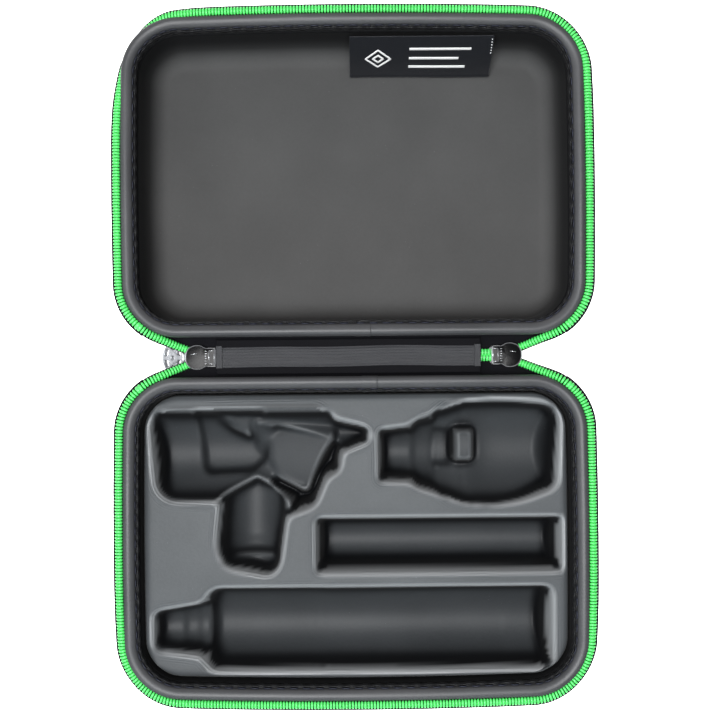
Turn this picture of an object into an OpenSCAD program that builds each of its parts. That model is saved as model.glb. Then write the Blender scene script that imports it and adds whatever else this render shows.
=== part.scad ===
// Moulded zip case for a pocket diagnostic set, lying open: the base with its
// moulded insert on the -Y side, the lid on the +Y side, the hinge along X.
// Millimetres, +Z up, origin on the resting surface under the middle of the hinge.

/* [Shells] */
// Width of each half over the binding at its corners, along the hinge
case_w = 188; // [170:1:210]
// Length of each half over the binding at its corners, away from the hinge
half_l = 130; // [122:1:150]
// Height of each half, from its outside face to the rim
half_h = 34; // [32:1:40]
// Radius of the plan corners over the binding
corner_r = 22; // [19:1:28]
// How far the front side bows out in its middle
front_bow = 2; // [0:0.5:4]
// How far each short side bows out in its middle
side_bow = 1; // [0:0.5:3]
// How far the walls lean in from the rim to the outside face
draft = 2.5; // [0:0.5:4]
// Radius between the walls and the outside face
edge_r = 12; // [9:0.5:12]
// Thickness of the outer fabric
skin_t = 1; // [0.8:0.1:1.2]
// Thickness of the foam
foam_t = 3.2; // [2.5:0.1:3.5]
// Thickness of the lining
lining_t = 0.8; // [0.6:0.1:1]

/* [Rim] */
// Width of the binding, across the rim
binding_w = 6; // [5.5:0.1:6.5]
// Height of the binding
binding_h = 6; // [4.5:0.1:7]
// How far the zip coil stands out past the binding
coil_w = 3.5; // [3:0.1:4]
// Height of the zip coil
coil_h = 2.8; // [2.2:0.1:2.8]
// Thickness of the zip tape
tape_t = 0.8; // [0.5:0.1:1]

/* [Hinge] */
// Gap between the two bindings across the hinge
hinge_gap = 16.4; // [15.4:0.2:18]
// Thickness of the hinge fabric
gusset_t = 0.7; // [0.5:0.1:0.7]
// Distance from the middle to the left end of the hinge fabric
gusset_left = 57; // [50:1:57]
// Distance from the middle to the right end of the hinge fabric
gusset_right = 52; // [45:1:52]
// Width of the ribbed band on the hinge fabric
band_w = 8.4; // [6:0.2:10]

/* [Insert] */
// Depth of the insert's top below the rim
insert_drop = 7; // [6.5:0.5:9]
// Gap between the insert and the binding's outer line
insert_inset = 7.5; // [7.3:0.1:8.5]
// Depth of the pockets
pocket_depth = 20; // [12:0.5:20]
// Radius of the handle pocket
handle_r = 16.6; // [14:0.1:16.6]
// Radius of the tube pocket
tube_r = 10.4; // [8:0.1:10.6]

/* [Sliders] */
// Length of a zip slider
slider_l = 12.6; // [12:0.1:12.6]
// Distance from the middle to the inner end of the left slider
slider_left_x = 57.2; // [57.2:0.1:58]
// Distance from the middle to the inner end of the right slider
slider_right_x = 56.4; // [56.4:0.1:57]
// Angle of the left pull below the horizontal
left_drop = 40; // [20:1:90]
// Angle of the right pull below the horizontal
right_drop = 90; // [40:1:90]
// Radius of a pull's medallion
medal_r = 7; // [6:0.1:7]

/* [Label] */
// Width of the woven label
label_w = 60; // [50:1:62]
// Length of the woven label
label_l = 23.8; // [18:0.2:23.8]

/* [Hidden] */
rim_clear = 0.15;              // the rims stay this far under the closing plane
zip_top = half_h - rim_clear;
wall_top = half_h - binding_h;
wall_inset = 0.8;              // the wall starts this far inside the binding
core_t = skin_t + foam_t;
wall_t = core_t + lining_t;
half_gap = hinge_gap / 2;
fold_y = half_gap - 1;         // each fold line, from the middle
fold_z = half_h - fold_y;
corner_steps = 6;
far = 500;                     // larger than the case
thread_d = 0.6;
thread_at = 4.2;               // the thread's distance inside the binding's outer line
bevel = 0.9;
bevel_h = 1.25;
lip_z = zip_top - bevel_h;
insert_z = half_h - insert_drop;
pocket_z = insert_z - pocket_depth;
cover_t = 0.8;                 // the fabric on the insert's top
leg_angle = 50;                // where each zip leg leaves the rim, round the back corner
leg_w = 2.8;
leg_h = 1.8;
chain_z = fold_z - 1.3;        // the middle of the zip chain on the hinge
plate_t = 0.8;
plate_gap = 2.2;
crown_h = 2.8;
pivot_u = 8;                   // the pull's pivot, from the slider's inner end
pivot_z = chain_z - plate_gap / 2 - plate_t - 1;
arm_l = 8.6;
medal_at = 15.4;
label_y = half_gap + 124;      // the seam that the label hangs from
label_z = 27.5;
label_lean = 62;               // the label's slope below the horizontal
label_x = 29;                  // the middle of the label
mark_t = 0.3;                  // thickness of the raised mark on the label

// Points on an arc, from angle a0 to a1 in n steps.
function arc(cx, cy, r, a0, a1, n) =
  [for (i = [0:n]) [cx + r * cos(a0 + (a1 - a0) * i / n),
                    cy + r * sin(a0 + (a1 - a0) * i / n)]];

// n points between a and b, without the two ends.
function between(a, b, n) = [for (i = [1:n]) a + (b - a) * i / (n + 1)];

// A rounded rectangle with y = 0 on the hinge side, d inside the binding.
function straight_plan(d) =
  let (a = case_w / 2 - d, r = corner_r - d, n = corner_steps,
       lo = corner_r, hi = half_l - corner_r, c = a - r)
  concat(
    arc(c, lo, r, -90, 0, n), between([a, lo], [a, hi], 3),
    arc(c, hi, r, 0, 90, n), between([c, half_l - d], [-c, half_l - d], 5),
    arc(-c, hi, r, 90, 180, n), between([-a, hi], [-a, lo], 3),
    arc(-c, lo, r, 180, 270, n));

// The same outline with its front and its short sides bowed out.
function plan_points(d) =
  let (m = half_l / 2, a = case_w / 2, b = m - min(d, 0))
  [for (p = straight_plan(d))
    let (v = (p.y - m) / b, u = p.x / (a - min(d, 0)))
    [p.x + side_bow * sign(p.x) * min(1, abs(u)) * (1 - v * v),
     p.y + front_bow * max(0, v) * (1 - u * u)]];

module plan(d) polygon(plan_points(d));

module ring(outer, inner, z0, z1)
  translate([0, 0, z0])
    linear_extrude(z1 - z0)
      difference() {
        plan(outer);
        plan(inner);
      }

// The levels of a shell surface: its height and its distance inside the binding.
// The corner between wall and floor is a quarter circle in four chords.
function levels(side, rise) =
  let (r = edge_r - side)
  concat(
    [for (a = [0:30:90])
      let (z = rise + r * (1 - cos(a)))
      [z, wall_inset + side + draft * (1 - z / half_h) + r * (1 - sin(a))]],
    [[half_h + 1, wall_inset + side - draft / half_h]]);

// A closed tub shape through those levels, side in from the wall, rise off the floor.
module tub(side, rise) {
  rows = levels(side, rise);
  n = len(plan_points(0));
  top = n * (len(rows) - 1);
  points = [for (q = rows) for (p = plan_points(q[1])) [p.x, p.y, q[0]]];
  walls = [for (k = [0:len(rows) - 2]) for (i = [0:n - 1])
    let (j = (i + 1) % n, a = k * n)
    each [[a + i, a + n + i, a + n + j], [a + i, a + n + j, a + j]]];
  floor_face = [for (i = [0:n - 1]) i];
  top_face = [for (i = [n - 1:-1:0]) top + i];
  polyhedron(points, concat([floor_face], walls, [top_face]));
}

module above(z) translate([-far / 2, -far / 2, z]) cube([far, far, far]);

module shell(side0, rise0, side1, rise1, z)
  difference() {
    tub(side0, rise0);
    tub(side1, rise1);
    above(z);
  }

// Puts a half's own frame on the lid side or, mirrored, on the base side.
module lid_side() translate([0, half_gap, 0]) children();
module base_side() mirror([0, 1, 0]) lid_side() children();

module half_skin() color([0.11, 0.11, 0.12])
  shell(0, 0, skin_t, skin_t, wall_top);

module half_foam() color([0.22, 0.22, 0.23])
  shell(skin_t, skin_t, core_t, core_t, wall_top);

module half_lining() color([0.34, 0.35, 0.35])
  shell(core_t, core_t, wall_t, wall_t, wall_top);

module half_binding() color([0.37, 0.38, 0.39])
  difference() {
    union() {
      ring(0, binding_w, wall_top, lip_z);
      ring(bevel, binding_w - bevel, lip_z, zip_top);
    }
    ring(thread_at, thread_at + thread_d, zip_top - thread_d, zip_top + 1);
  }

module half_stitching() color([0.12, 0.12, 0.14])
  ring(thread_at, thread_at + thread_d, zip_top - thread_d, zip_top - 0.2);

// The zip stops on each back corner, where its leg leaves the rim.
module zip_part(w, z0, z1)
  difference() {
    ring(-w, 0, z0, z1);
    for (s = [-1, 1])
      translate([s * (case_w / 2 - corner_r), corner_r, z0 - 1])
        rotate(s > 0 ? -leg_angle - 90 : leg_angle - 180)
          cube([far, far, z1 - z0 + 2]);
    translate([-case_w / 2 + corner_r, -far + corner_r, z0 - 1])
      cube([case_w - 2 * corner_r, far, z1 - z0 + 2]);
  }

module half_tape() color([0.08, 0.08, 0.09])
  zip_part(coil_w - 0.6, zip_top - coil_h - tape_t, zip_top - coil_h);

module half_coil() color([0.3, 0.85, 0.4])
  zip_part(coil_w, zip_top - coil_h, zip_top);

module half_flank() color([0.07, 0.07, 0.08])
  translate([-gusset_left, -0.3, wall_top - 2.2])
    cube([gusset_left + gusset_right, 1, 2.2]);

module leg_block(x, y, z, turn)
  translate([x, y, z])
    rotate(turn)
      cube([0.6, leg_w, leg_h], center = true);

// A zip leg from the back corner down to the slider, in a half's own frame.
module half_leg(s, slider_x) color([0.3, 0.85, 0.4]) {
  r = corner_r + coil_w / 2;
  x0 = case_w / 2 - corner_r + (r + 0.2) * cos(leg_angle + 3);
  y0 = corner_r - (r + 0.2) * sin(leg_angle + 3);
  x2 = slider_x + slider_l + 0.8;
  start_z = zip_top - coil_h / 2;
  mid = [x2 + 6, 6.4 - half_gap, (start_z + chain_z) / 2];
  mirror([s < 0 ? 1 : 0, 0, 0]) {
    hull() {
      leg_block(x0, y0, start_z, 35);
      leg_block(mid.x, mid.y, mid.z, 28);
    }
    hull() {
      leg_block(mid.x, mid.y, mid.z, 28);
      leg_block(x2, 3.4 - half_gap, chain_z, 20);
    }
  }
}

// A trough with a round bottom, from x0 to x1 in the insert, its middle at y.
module trough(x0, x1, y, r) {
  rise = max(r, pocket_depth);
  profile = concat(
    [[r, rise + 1]], arc(0, r, r, 0, -180, 12), [[-r, rise + 1]]);
  translate([x0, y, pocket_z])
    rotate([90, 0, 90])
      linear_extrude(x1 - x0)
        polygon(profile);
}

// A pocket with upright walls, dropped from the insert's top.
module well(points, depth)
  translate([0, 0, insert_z - depth])
    linear_extrude(depth + 1)
      polygon(points);

module handle_pocket() {
  trough(-62, 79.5, -112.4, handle_r);
  well([[-82.5, -105], [-64, -101], [-61, -101], [-61, -124], [-64, -124],
        [-82.5, -120]], 16);
}

module tube_pocket() trough(-15.7, 84, -78, tube_r);

module head_pocket() {
  well([[-83.5, -22], [-81, -19.6], [-15, -19.6], [-8, -26.6], [5, -29.6],
        [5, -34.4], [-6, -41], [-11, -49], [-17, -62], [-28, -66.2],
        [-55, -59.9], [-78, -57.2], [-81, -54]], 18);
  well([[-56.6, -58], [-28, -58], [-31.4, -86.4], [-36, -90.6], [-53, -88],
        [-56.6, -80]], pocket_depth);
}

module second_pocket()
  well([[10.3, -30], [24, -30], [32, -25], [40, -18.4], [46, -17.4],
        [80, -20.6], [81.4, -24], [81.4, -53], [80, -56.4], [48, -62.8],
        [41, -61.6], [29, -55.4], [24, -52], [10.3, -52]], 18);

module button_block()
  translate([40.6, -45.6, insert_z - 18])
    cube([10, 15.6, 12]);

module pockets() {
  handle_pocket();
  tube_pocket();
  head_pocket();
  difference() {
    second_pocket();
    button_block();
  }
}

// The insert's moulded block with its pockets, between two heights.
module insert_layer(z0, z1)
  difference() {
    base_side() tub(insert_inset - wall_inset, wall_t);
    pockets();
    above(z1);
    mirror([0, 0, 1]) above(-z0);
  }

module insert_foam() color([0.2, 0.21, 0.23])
  insert_layer(0, insert_z - cover_t);

module insert_cover() color([0.4, 0.42, 0.44])
  insert_layer(insert_z - cover_t, insert_z);

// The label hangs from its seam over the lid's front wall.
module on_label()
  translate([label_x, label_y, label_z])
    rotate([label_lean, 0, 0])
      children();

module label_tab() color([0.05, 0.05, 0.06])
  on_label()
    translate([-label_w / 2, -label_l, -0.5])
      cube([label_w, label_l, 1]);

module label_mark() color([0.85, 0.85, 0.85])
  on_label() {
    z = 0.5 + mark_t / 2;
    translate([-18, -label_l / 2, z])
      rotate(45)
        cube([8, 8, mark_t], center = true);
    for (k = [-1:1])
      translate([8, -label_l / 2 + 5 * k, z])
        cube([26, 1.6, mark_t], center = true);
  }

module hinge_gusset() color([0.08, 0.08, 0.09])
  translate([-gusset_left, -fold_y + 0.3, fold_z - gusset_t / 2])
    cube([gusset_left + gusset_right, 2 * fold_y - 0.6, gusset_t]);

// A strip on top of the hinge fabric, from x0 to x1.
module band(x0, x1)
  translate([x0, -band_w / 2, fold_z + gusset_t / 2])
    cube([x1 - x0, band_w, 0.4]);

module hinge_band() color([0.14, 0.14, 0.15]) band(2 - gusset_left, gusset_right - 2);
module hinge_hem_left() color([0.1, 0.1, 0.11]) band(-gusset_left, 2 - gusset_left);
module hinge_hem_right() color([0.1, 0.1, 0.11]) band(gusset_right - 2, gusset_right);

module chain_stub() color([0.3, 0.85, 0.4])
  translate([gusset_right, -leg_w, chain_z - leg_h / 2])
    cube([slider_right_x + 2 - gusset_right, 2 * leg_w, leg_h]);

// The outline of a slider plate, its inner end at x = 0.
module slider_plan()
  polygon([[0, -3.8], [4.2, -3.8], [6, -5.1], [9, -5.1], [11.4, -4], [slider_l, -1.8],
           [slider_l, 1.8], [11.4, 4], [9, 5.1], [6, 5.1], [4.2, 3.8], [0, 3.8]]);

module slider_body() color([0.05, 0.05, 0.06]) {
  for (z = [-plate_gap / 2 - plate_t, plate_gap / 2])
    translate([0, 0, z])
      linear_extrude(plate_t)
        slider_plan();
  for (y = [-3.8, 3.1])
    for (z = [-plate_gap / 2, 0.4])
      translate([0, y, z])
        cube([4.2, 0.7, plate_gap / 2 - 0.4]);
  translate([0, 0, -plate_gap / 2])
    linear_extrude(plate_gap)
      polygon([[6.6, 0], [9.5, -1], [slider_l, -1.4], [slider_l, 1.4], [9.5, 1]]);
}

// The arch under a slider that holds its pull.
module slider_crown() color([0.05, 0.05, 0.06])
  translate([0, 1.2, -plate_gap / 2 - plate_t])
    rotate([90, 0, 0])
      linear_extrude(2.4)
        difference() {
          polygon([[2, 0], [2, -2.2], [2.8, -crown_h], [9.6, -crown_h], [10.4, -2.2],
                   [10.4, 0]]);
          translate([3.4, -1.9]) square([5.8, 3]);
        }

// A slider's frame on the chain: side 1 is the right one, side -1 the left one.
module on_slider(side)
  mirror([side < 0 ? 1 : 0, 0, 0])
    translate([side < 0 ? slider_left_x : slider_right_x, 0, chain_z])
      children();

// A pull's frame: x runs along the pull from its pivot.
module on_pull(side, drop)
  on_slider(side)
    translate([pivot_u, 0, pivot_z - chain_z])
      rotate([0, drop, 0])
        children();

module pull_link() color([0.45, 0.46, 0.48])
  difference() {
    union() {
      rotate([90, 0, 0]) cylinder(r = 0.6, h = 5, center = true, $fn = 32);
      for (y = [-2.5, 1.7])
        translate([0, y, -0.6])
          cube([arm_l, 0.8, 1.2]);
      translate([6.8, -2.5, -0.6])
        cube([arm_l - 6.8 + 0.4, 5, 1.2]);
    }
    translate([medal_at, 0, 0]) cylinder(r = medal_r, h = 4, center = true, $fn = 64);
  }

module pull_medallion() color([0.62, 0.63, 0.65])
  translate([medal_at, 0, 0])
    difference() {
      cylinder(r = medal_r, h = 1.8, center = true, $fn = 64);
      for (k = [0:5])
        rotate(60 * k + 30)
          translate([4.4, 0, 0])
            cylinder(r = 1.3, h = 4, center = true, $fn = 32);
    }

module base_outer_skin() base_side() half_skin();
module base_foam_core() base_side() half_foam();
module base_lining() base_side() half_lining();
module base_binding() base_side() half_binding();
module base_stitching() base_side() half_stitching();
module base_zip_tape() base_side() half_tape();
module base_zip_coil() base_side() half_coil();
module base_flank() base_side() half_flank();
module base_zip_leg_left() base_side() half_leg(-1, slider_left_x);
module base_zip_leg_right() base_side() half_leg(1, slider_right_x);
module lid_outer_skin() lid_side() half_skin();
module lid_foam_core() lid_side() half_foam();
module lid_lining() lid_side() half_lining();
module lid_binding() lid_side() half_binding();
module lid_stitching() lid_side() half_stitching();
module lid_zip_tape() lid_side() half_tape();
module lid_zip_coil() lid_side() half_coil();
module lid_flank() lid_side() half_flank();
module lid_zip_leg_left() lid_side() half_leg(-1, slider_left_x);
module lid_zip_leg_right() lid_side() half_leg(1, slider_right_x);
module slider_left_body() on_slider(-1) slider_body();
module slider_left_crown() on_slider(-1) slider_crown();
module slider_right_body() on_slider(1) slider_body();
module slider_right_crown() on_slider(1) slider_crown();
module pull_left_link() on_pull(-1, left_drop) pull_link();
module pull_left_medallion() on_pull(-1, left_drop) pull_medallion();
module pull_right_link() on_pull(1, right_drop) pull_link();
module pull_right_medallion() on_pull(1, right_drop) pull_medallion();

base_outer_skin();
base_foam_core();
base_lining();
base_binding();
base_stitching();
base_zip_tape();
base_zip_coil();
base_flank();
base_zip_leg_left();
base_zip_leg_right();
insert_foam();
insert_cover();
lid_outer_skin();
lid_foam_core();
lid_lining();
lid_binding();
lid_stitching();
lid_zip_tape();
lid_zip_coil();
lid_flank();
lid_zip_leg_left();
lid_zip_leg_right();
label_tab();
label_mark();
hinge_gusset();
hinge_band();
hinge_hem_left();
hinge_hem_right();
chain_stub();
slider_left_body();
slider_left_crown();
slider_right_body();
slider_right_crown();
pull_left_link();
pull_left_medallion();
pull_right_link();
pull_right_medallion();
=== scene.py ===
"""Looks of an open moulded zip case with a shaped insert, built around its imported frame.

Every shape is worked out in millimetres with numpy, in the frame's own axes: +X along the
hinge, -Y the base half, +Y the lid half, +Z up. It becomes metres only as it enters a mesh.
"""

import logging
import math
from dataclasses import dataclass, field, replace
from enum import Enum
from typing import Callable, Sequence

import bpy
import numpy as np
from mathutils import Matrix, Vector


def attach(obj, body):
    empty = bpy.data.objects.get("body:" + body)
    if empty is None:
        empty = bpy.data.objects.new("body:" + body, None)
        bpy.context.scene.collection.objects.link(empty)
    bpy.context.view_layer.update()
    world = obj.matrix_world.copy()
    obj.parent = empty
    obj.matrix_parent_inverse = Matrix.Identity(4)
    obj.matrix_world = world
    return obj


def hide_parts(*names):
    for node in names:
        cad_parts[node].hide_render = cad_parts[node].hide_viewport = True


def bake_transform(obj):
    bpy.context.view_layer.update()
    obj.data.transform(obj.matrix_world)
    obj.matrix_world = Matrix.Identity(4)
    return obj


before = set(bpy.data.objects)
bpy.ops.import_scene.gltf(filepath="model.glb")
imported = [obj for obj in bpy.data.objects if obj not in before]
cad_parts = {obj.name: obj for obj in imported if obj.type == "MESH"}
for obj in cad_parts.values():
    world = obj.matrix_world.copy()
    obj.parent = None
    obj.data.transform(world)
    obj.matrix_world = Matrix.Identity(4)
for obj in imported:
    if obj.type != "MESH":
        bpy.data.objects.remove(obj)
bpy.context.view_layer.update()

LOG = logging.getLogger("case")
MM = 0.001
Array = np.ndarray

# Measures that several pieces share, in millimetres.
CHAIN_Z = 25.5  # height of the closed zip chain's middle
GAP = 8.2  # from the hinge's middle line to either binding
SLIDER_ENDS = (57.2, 56.4)  # from the hinge's middle to the left and right slider's inner end
TOOTH_PITCH = 1.27  # from one zip tooth to the next


# ---------------------------------------------------------------- meshes


@dataclass
class Patch:
    """A surface on a grid: points[i, j], with i along a path and j round a profile.

    Attributes:
        points: Positions in millimetres, shaped (i, j, 3).
        ring_i: The grid closes on itself along i.
        ring_j: The grid closes on itself along j.
        cap_i: The two open ends along i are closed by fans.
        cap_j: The two open edges along j are closed by fans.
        pinch: The two open ends along i are thin, and are closed straight across.
        marks: Named values in 0..1 at the points, shaped (i, j).
    """

    points: Array
    ring_i: bool = False
    ring_j: bool = True
    cap_i: bool = False
    cap_j: bool = False
    pinch: bool = False
    marks: dict[str, Array] = field(default_factory=dict)

    def lengths(self) -> Array:
        """Return (u, v) in metres at every grid point: distance along i and along j."""
        p = np.concatenate([self.points, self.points[:1]]) if self.ring_i else self.points
        p = np.concatenate([p, p[:, :1]], axis=1) if self.ring_j else p
        u = np.linalg.norm(np.diff(p, axis=0), axis=2).mean(axis=1)
        v = np.linalg.norm(np.diff(p, axis=1), axis=2).mean(axis=0)
        u = np.concatenate([[0], np.cumsum(u)]) * MM
        v = np.concatenate([[0], np.cumsum(v)]) * MM
        return np.stack(np.broadcast_arrays(u[:, None], v[None, :]), axis=-1)

    def build(self, start: int) -> tuple[Array, list, Array]:
        """Return the vertices, the faces and the faces' corner uv.

        Args:
            start: The index of this patch's first vertex in the whole mesh.
        """
        n, m = self.points.shape[:2]
        i, j = np.meshgrid(np.arange(n - (not self.ring_i)), np.arange(m - (not self.ring_j)),
                           indexing="ij")
        steps = [(0, 0), (1, 0), (1, 1), (0, 1)]
        quads = np.stack([(i + a) % n * m + (j + b) % m for a, b in steps], axis=-1)
        uv = self.lengths()
        corner_uv = np.stack([uv[i + a, j + b] for a, b in steps], axis=-2).reshape(-1, 2)
        verts, faces = self.points.reshape(-1, 3), (quads.reshape(-1, 4) + start).tolist()
        index = np.arange(n * m).reshape(n, m)
        rims = [index[0], index[-1][::-1]] if self.cap_i else []
        rims += [index[:, 0][::-1], index[:, -1]] if self.cap_j else []
        for rim in rims:
            hub = len(verts)
            verts = np.concatenate([verts, verts[rim].mean(axis=0)[None]])
            fan = np.stack([np.full(len(rim), hub), rim, np.roll(rim, -1)], axis=-1)
            faces += (fan + start).tolist()
            corner_uv = np.concatenate([corner_uv, np.zeros((3 * len(rim), 2))])
        for row in [index[0], index[-1][::-1]] if self.pinch else []:
            near, back = row[:m // 2], row[m // 2:][::-1]
            strip = np.stack([near[:-1], near[1:], back[1:], back[:-1]], axis=-1)
            faces += (strip + start).tolist()
            corner_uv = np.concatenate([corner_uv, np.zeros((strip.size, 2))])
        return verts, faces, corner_uv


def add_mesh(name: str, patches: Sequence[Patch], material: bpy.types.Material,
             smooth: bool = True) -> bpy.types.Object:
    """Make one object from closed patches, with each patch turned to face outwards.

    A patch's volume is the sum of a . (b x c) / 6 over its triangles; where that is negative
    the faces are reversed.

    Args:
        name: The object's name.
        patches: The surfaces, in millimetres.
        material: The finish for all faces.
        smooth: Shade the faces smooth.

    Returns:
        The new object, at the origin.
    """
    verts, faces, uvs, marks = [], [], [], {}
    start = 0
    for patch in patches:
        points, polygons, uv = patch.build(start)
        if volume(points, polygons, start) < 0:
            polygons = [face[::-1] for face in polygons]
            ends = np.cumsum([len(face) for face in polygons])
            order = np.concatenate([np.arange(e - 1, e - 1 - len(f), -1)
                                    for e, f in zip(ends, polygons)])
            uv = uv[order]
        for key, values in patch.marks.items():
            marks.setdefault(key, []).append((start, values.reshape(-1)))
        verts.append(points)
        faces += polygons
        uvs.append(uv)
        start += len(points)
    mesh = bpy.data.meshes.new(name)
    mesh.from_pydata((np.concatenate(verts) * MM).tolist(), [], faces)
    layer = mesh.uv_layers.new(name="UVMap")
    layer.data.foreach_set("uv", np.concatenate(uvs).astype(np.float32).reshape(-1))
    for key, spans in marks.items():
        values = np.zeros(start, np.float32)
        for first, part in spans:
            values[first:first + len(part)] = part
        mesh.attributes.new(key, "FLOAT", "POINT").data.foreach_set("value", values)
    mesh.polygons.foreach_set("use_smooth", np.full(len(mesh.polygons), smooth))
    mesh.materials.append(material)
    mesh.update()
    obj = bpy.data.objects.new(name, mesh)
    bpy.context.scene.collection.objects.link(obj)
    return obj


def volume(points: Array, polygons: list, start: int) -> float:
    """Return the signed volume inside the polygons, split into fans from their first corner."""
    total = 0.0
    for size in (3, 4):
        group = np.array([f for f in polygons if len(f) == size])
        for k in range(2, size):
            if len(group):
                a, b, c = (points[group[:, q] - start] for q in (0, k - 1, k))
                total += float((a * np.cross(b, c)).sum())
    return total / 6


def ship(obj: bpy.types.Object, body: str, slot: str, *nodes: str) -> bpy.types.Object:
    """Let a piece ride on a body and stand for CAD nodes."""
    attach(obj, body)
    if nodes:
        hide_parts(*nodes)
    LOG.info("%s: %d faces, rides on %s", obj.name, len(obj.data.polygons), body)
    return obj


def smooth_min(a: Array, b: Array, k: float) -> Array:
    """Return the smaller of a and b, rounded over k: min less h squared times k over 4."""
    h = np.maximum(k - np.abs(a - b), 0) / k
    return np.minimum(a, b) - h * h * k / 4


def smooth_max(a: Array, b: Array, k: float) -> Array:
    """Return the larger of a and b, rounded over k."""
    return -smooth_min(-a, -b, k)


def ease(t: Array) -> Array:
    """Return the smooth step 3 t squared less 2 t cubed of t held to 0..1."""
    t = np.clip(t, 0, 1)
    return t * t * (3 - 2 * t)


def sweep(path: Array, profile: Array, up: Array = np.array([0.0, 0.0, 1.0]),
          scale: Array | None = None, closed: bool = False) -> Patch:
    """Carry a closed profile along a path.

    At each path point the profile's x runs along side = tangent x up and its y along
    side x tangent, both of unit length.

    Args:
        path: Points in millimetres, shaped (n, 3).
        profile: Closed outline, shaped (m, 2).
        up: The direction that the profile's y leans to, one or one for each point.
        scale: A size factor for each path point.
        closed: The path is a ring.
    """
    if closed:
        tangent = np.roll(path, -1, axis=0) - np.roll(path, 1, axis=0)
    else:
        tangent = np.gradient(path, axis=0)
    tangent /= np.linalg.norm(tangent, axis=1, keepdims=True)
    side = np.cross(tangent, up)
    side /= np.linalg.norm(side, axis=1, keepdims=True)
    over = np.cross(side, tangent)
    size = np.ones(len(path)) if scale is None else scale
    points = path[:, None] + size[:, None, None] * (
        profile[None, :, :1] * side[:, None] + profile[None, :, 1:] * over[:, None])
    return Patch(points, ring_i=closed, cap_i=not closed)


def oval(width: float, height: float, count: int, power: float = 2.0) -> Array:
    """Return a closed oval |x/a|^p + |y/b|^p = 1, given its full width and height."""
    t = np.linspace(0, 2 * math.pi, count, endpoint=False)
    c, s = np.cos(t), np.sin(t)
    return np.stack([width / 2 * np.sign(c) * np.abs(c) ** (2 / power),
                     height / 2 * np.sign(s) * np.abs(s) ** (2 / power)], axis=-1)


def spline(points: Sequence[Sequence[float]], count: int) -> Array:
    """Return count points of a smooth curve through the given ones (Catmull-Rom)."""
    p = np.array(points, float)
    p = np.concatenate([2 * p[:1] - p[1:2], p, 2 * p[-1:] - p[-2:-1]])
    t = np.linspace(0, len(points) - 1 - 1e-9, count)
    k = t.astype(int)
    f = (t - k)[:, None]
    a, b, c, d = p[k], p[k + 1], p[k + 2], p[k + 3]
    return 0.5 * (2 * b + (c - a) * f + (2 * a - 5 * b + 4 * c - d) * f ** 2
                  + (3 * b - a - 3 * c + d) * f ** 3)


def copies(template: Patch, places: Array, axes: Array) -> list[Patch]:
    """Place a template patch at each point, its x, y, z along that point's three axes."""
    return [replace(template, points=place + template.points @ axis)
            for place, axis in zip(places, axes)]


def slab(top: Array, thick: float) -> Patch:
    """Give an open grid a thickness below it.

    The underside is the top less thick times the unit cross product of its two gradients.
    """
    normal = np.cross(np.gradient(top, axis=0), np.gradient(top, axis=1))
    normal /= np.linalg.norm(normal, axis=2, keepdims=True)
    normal *= np.where(normal[..., 2:].mean() < 0, -1, 1)
    return Patch(np.concatenate([top, (top - thick * normal)[:, ::-1]], axis=1), pinch=True)


def rounded(corners: Sequence[tuple[float, float, float]], count: int = 7) -> Array:
    """Return a closed outline whose corners (x, y, reach) are turned by quadratic arcs.

    Each arc starts and ends reach from its corner, or halfway along a shorter side, and is
    (1 - t)^2 a + 2 t (1 - t) corner + t^2 b.
    """
    c = np.array(corners, float)
    p, t = c[:, :2], np.linspace(0, 1, count)[:, None]
    out = []
    for k, here in enumerate(p):
        ends = []
        for other in (p[k - 1], p[(k + 1) % len(p)]):
            gap = np.linalg.norm(other - here)
            ends.append(here + (other - here) / gap * min(c[k, 2], 0.48 * gap))
        out.append((1 - t) ** 2 * ends[0] + 2 * t * (1 - t) * here + t * t * ends[1])
    return np.concatenate(out)


def depth_inside(outline: Array, x: Array, y: Array) -> Array:
    """Return the distance to a closed outline, positive inside it.

    The distance is the least over the outline's sides, and the sign comes from how many
    sides a line towards +x crosses.
    """
    best, inside = np.full(x.shape, np.inf), np.zeros(x.shape, bool)
    for a, b in zip(outline, np.roll(outline, -1, axis=0)):
        dx, dy = b - a
        t = np.clip(((x - a[0]) * dx + (y - a[1]) * dy) / (dx * dx + dy * dy + 1e-12), 0, 1)
        best = np.minimum(best, np.hypot(x - a[0] - t * dx, y - a[1] - t * dy))
        if abs(dy) > 1e-9:
            crosses = ((a[1] > y) != (b[1] > y)) & (x < dx * (y - a[1]) / dy + a[0])
            inside ^= crosses
    return np.where(inside, best, -best)


# ---------------------------------------------------------------- finishes


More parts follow.
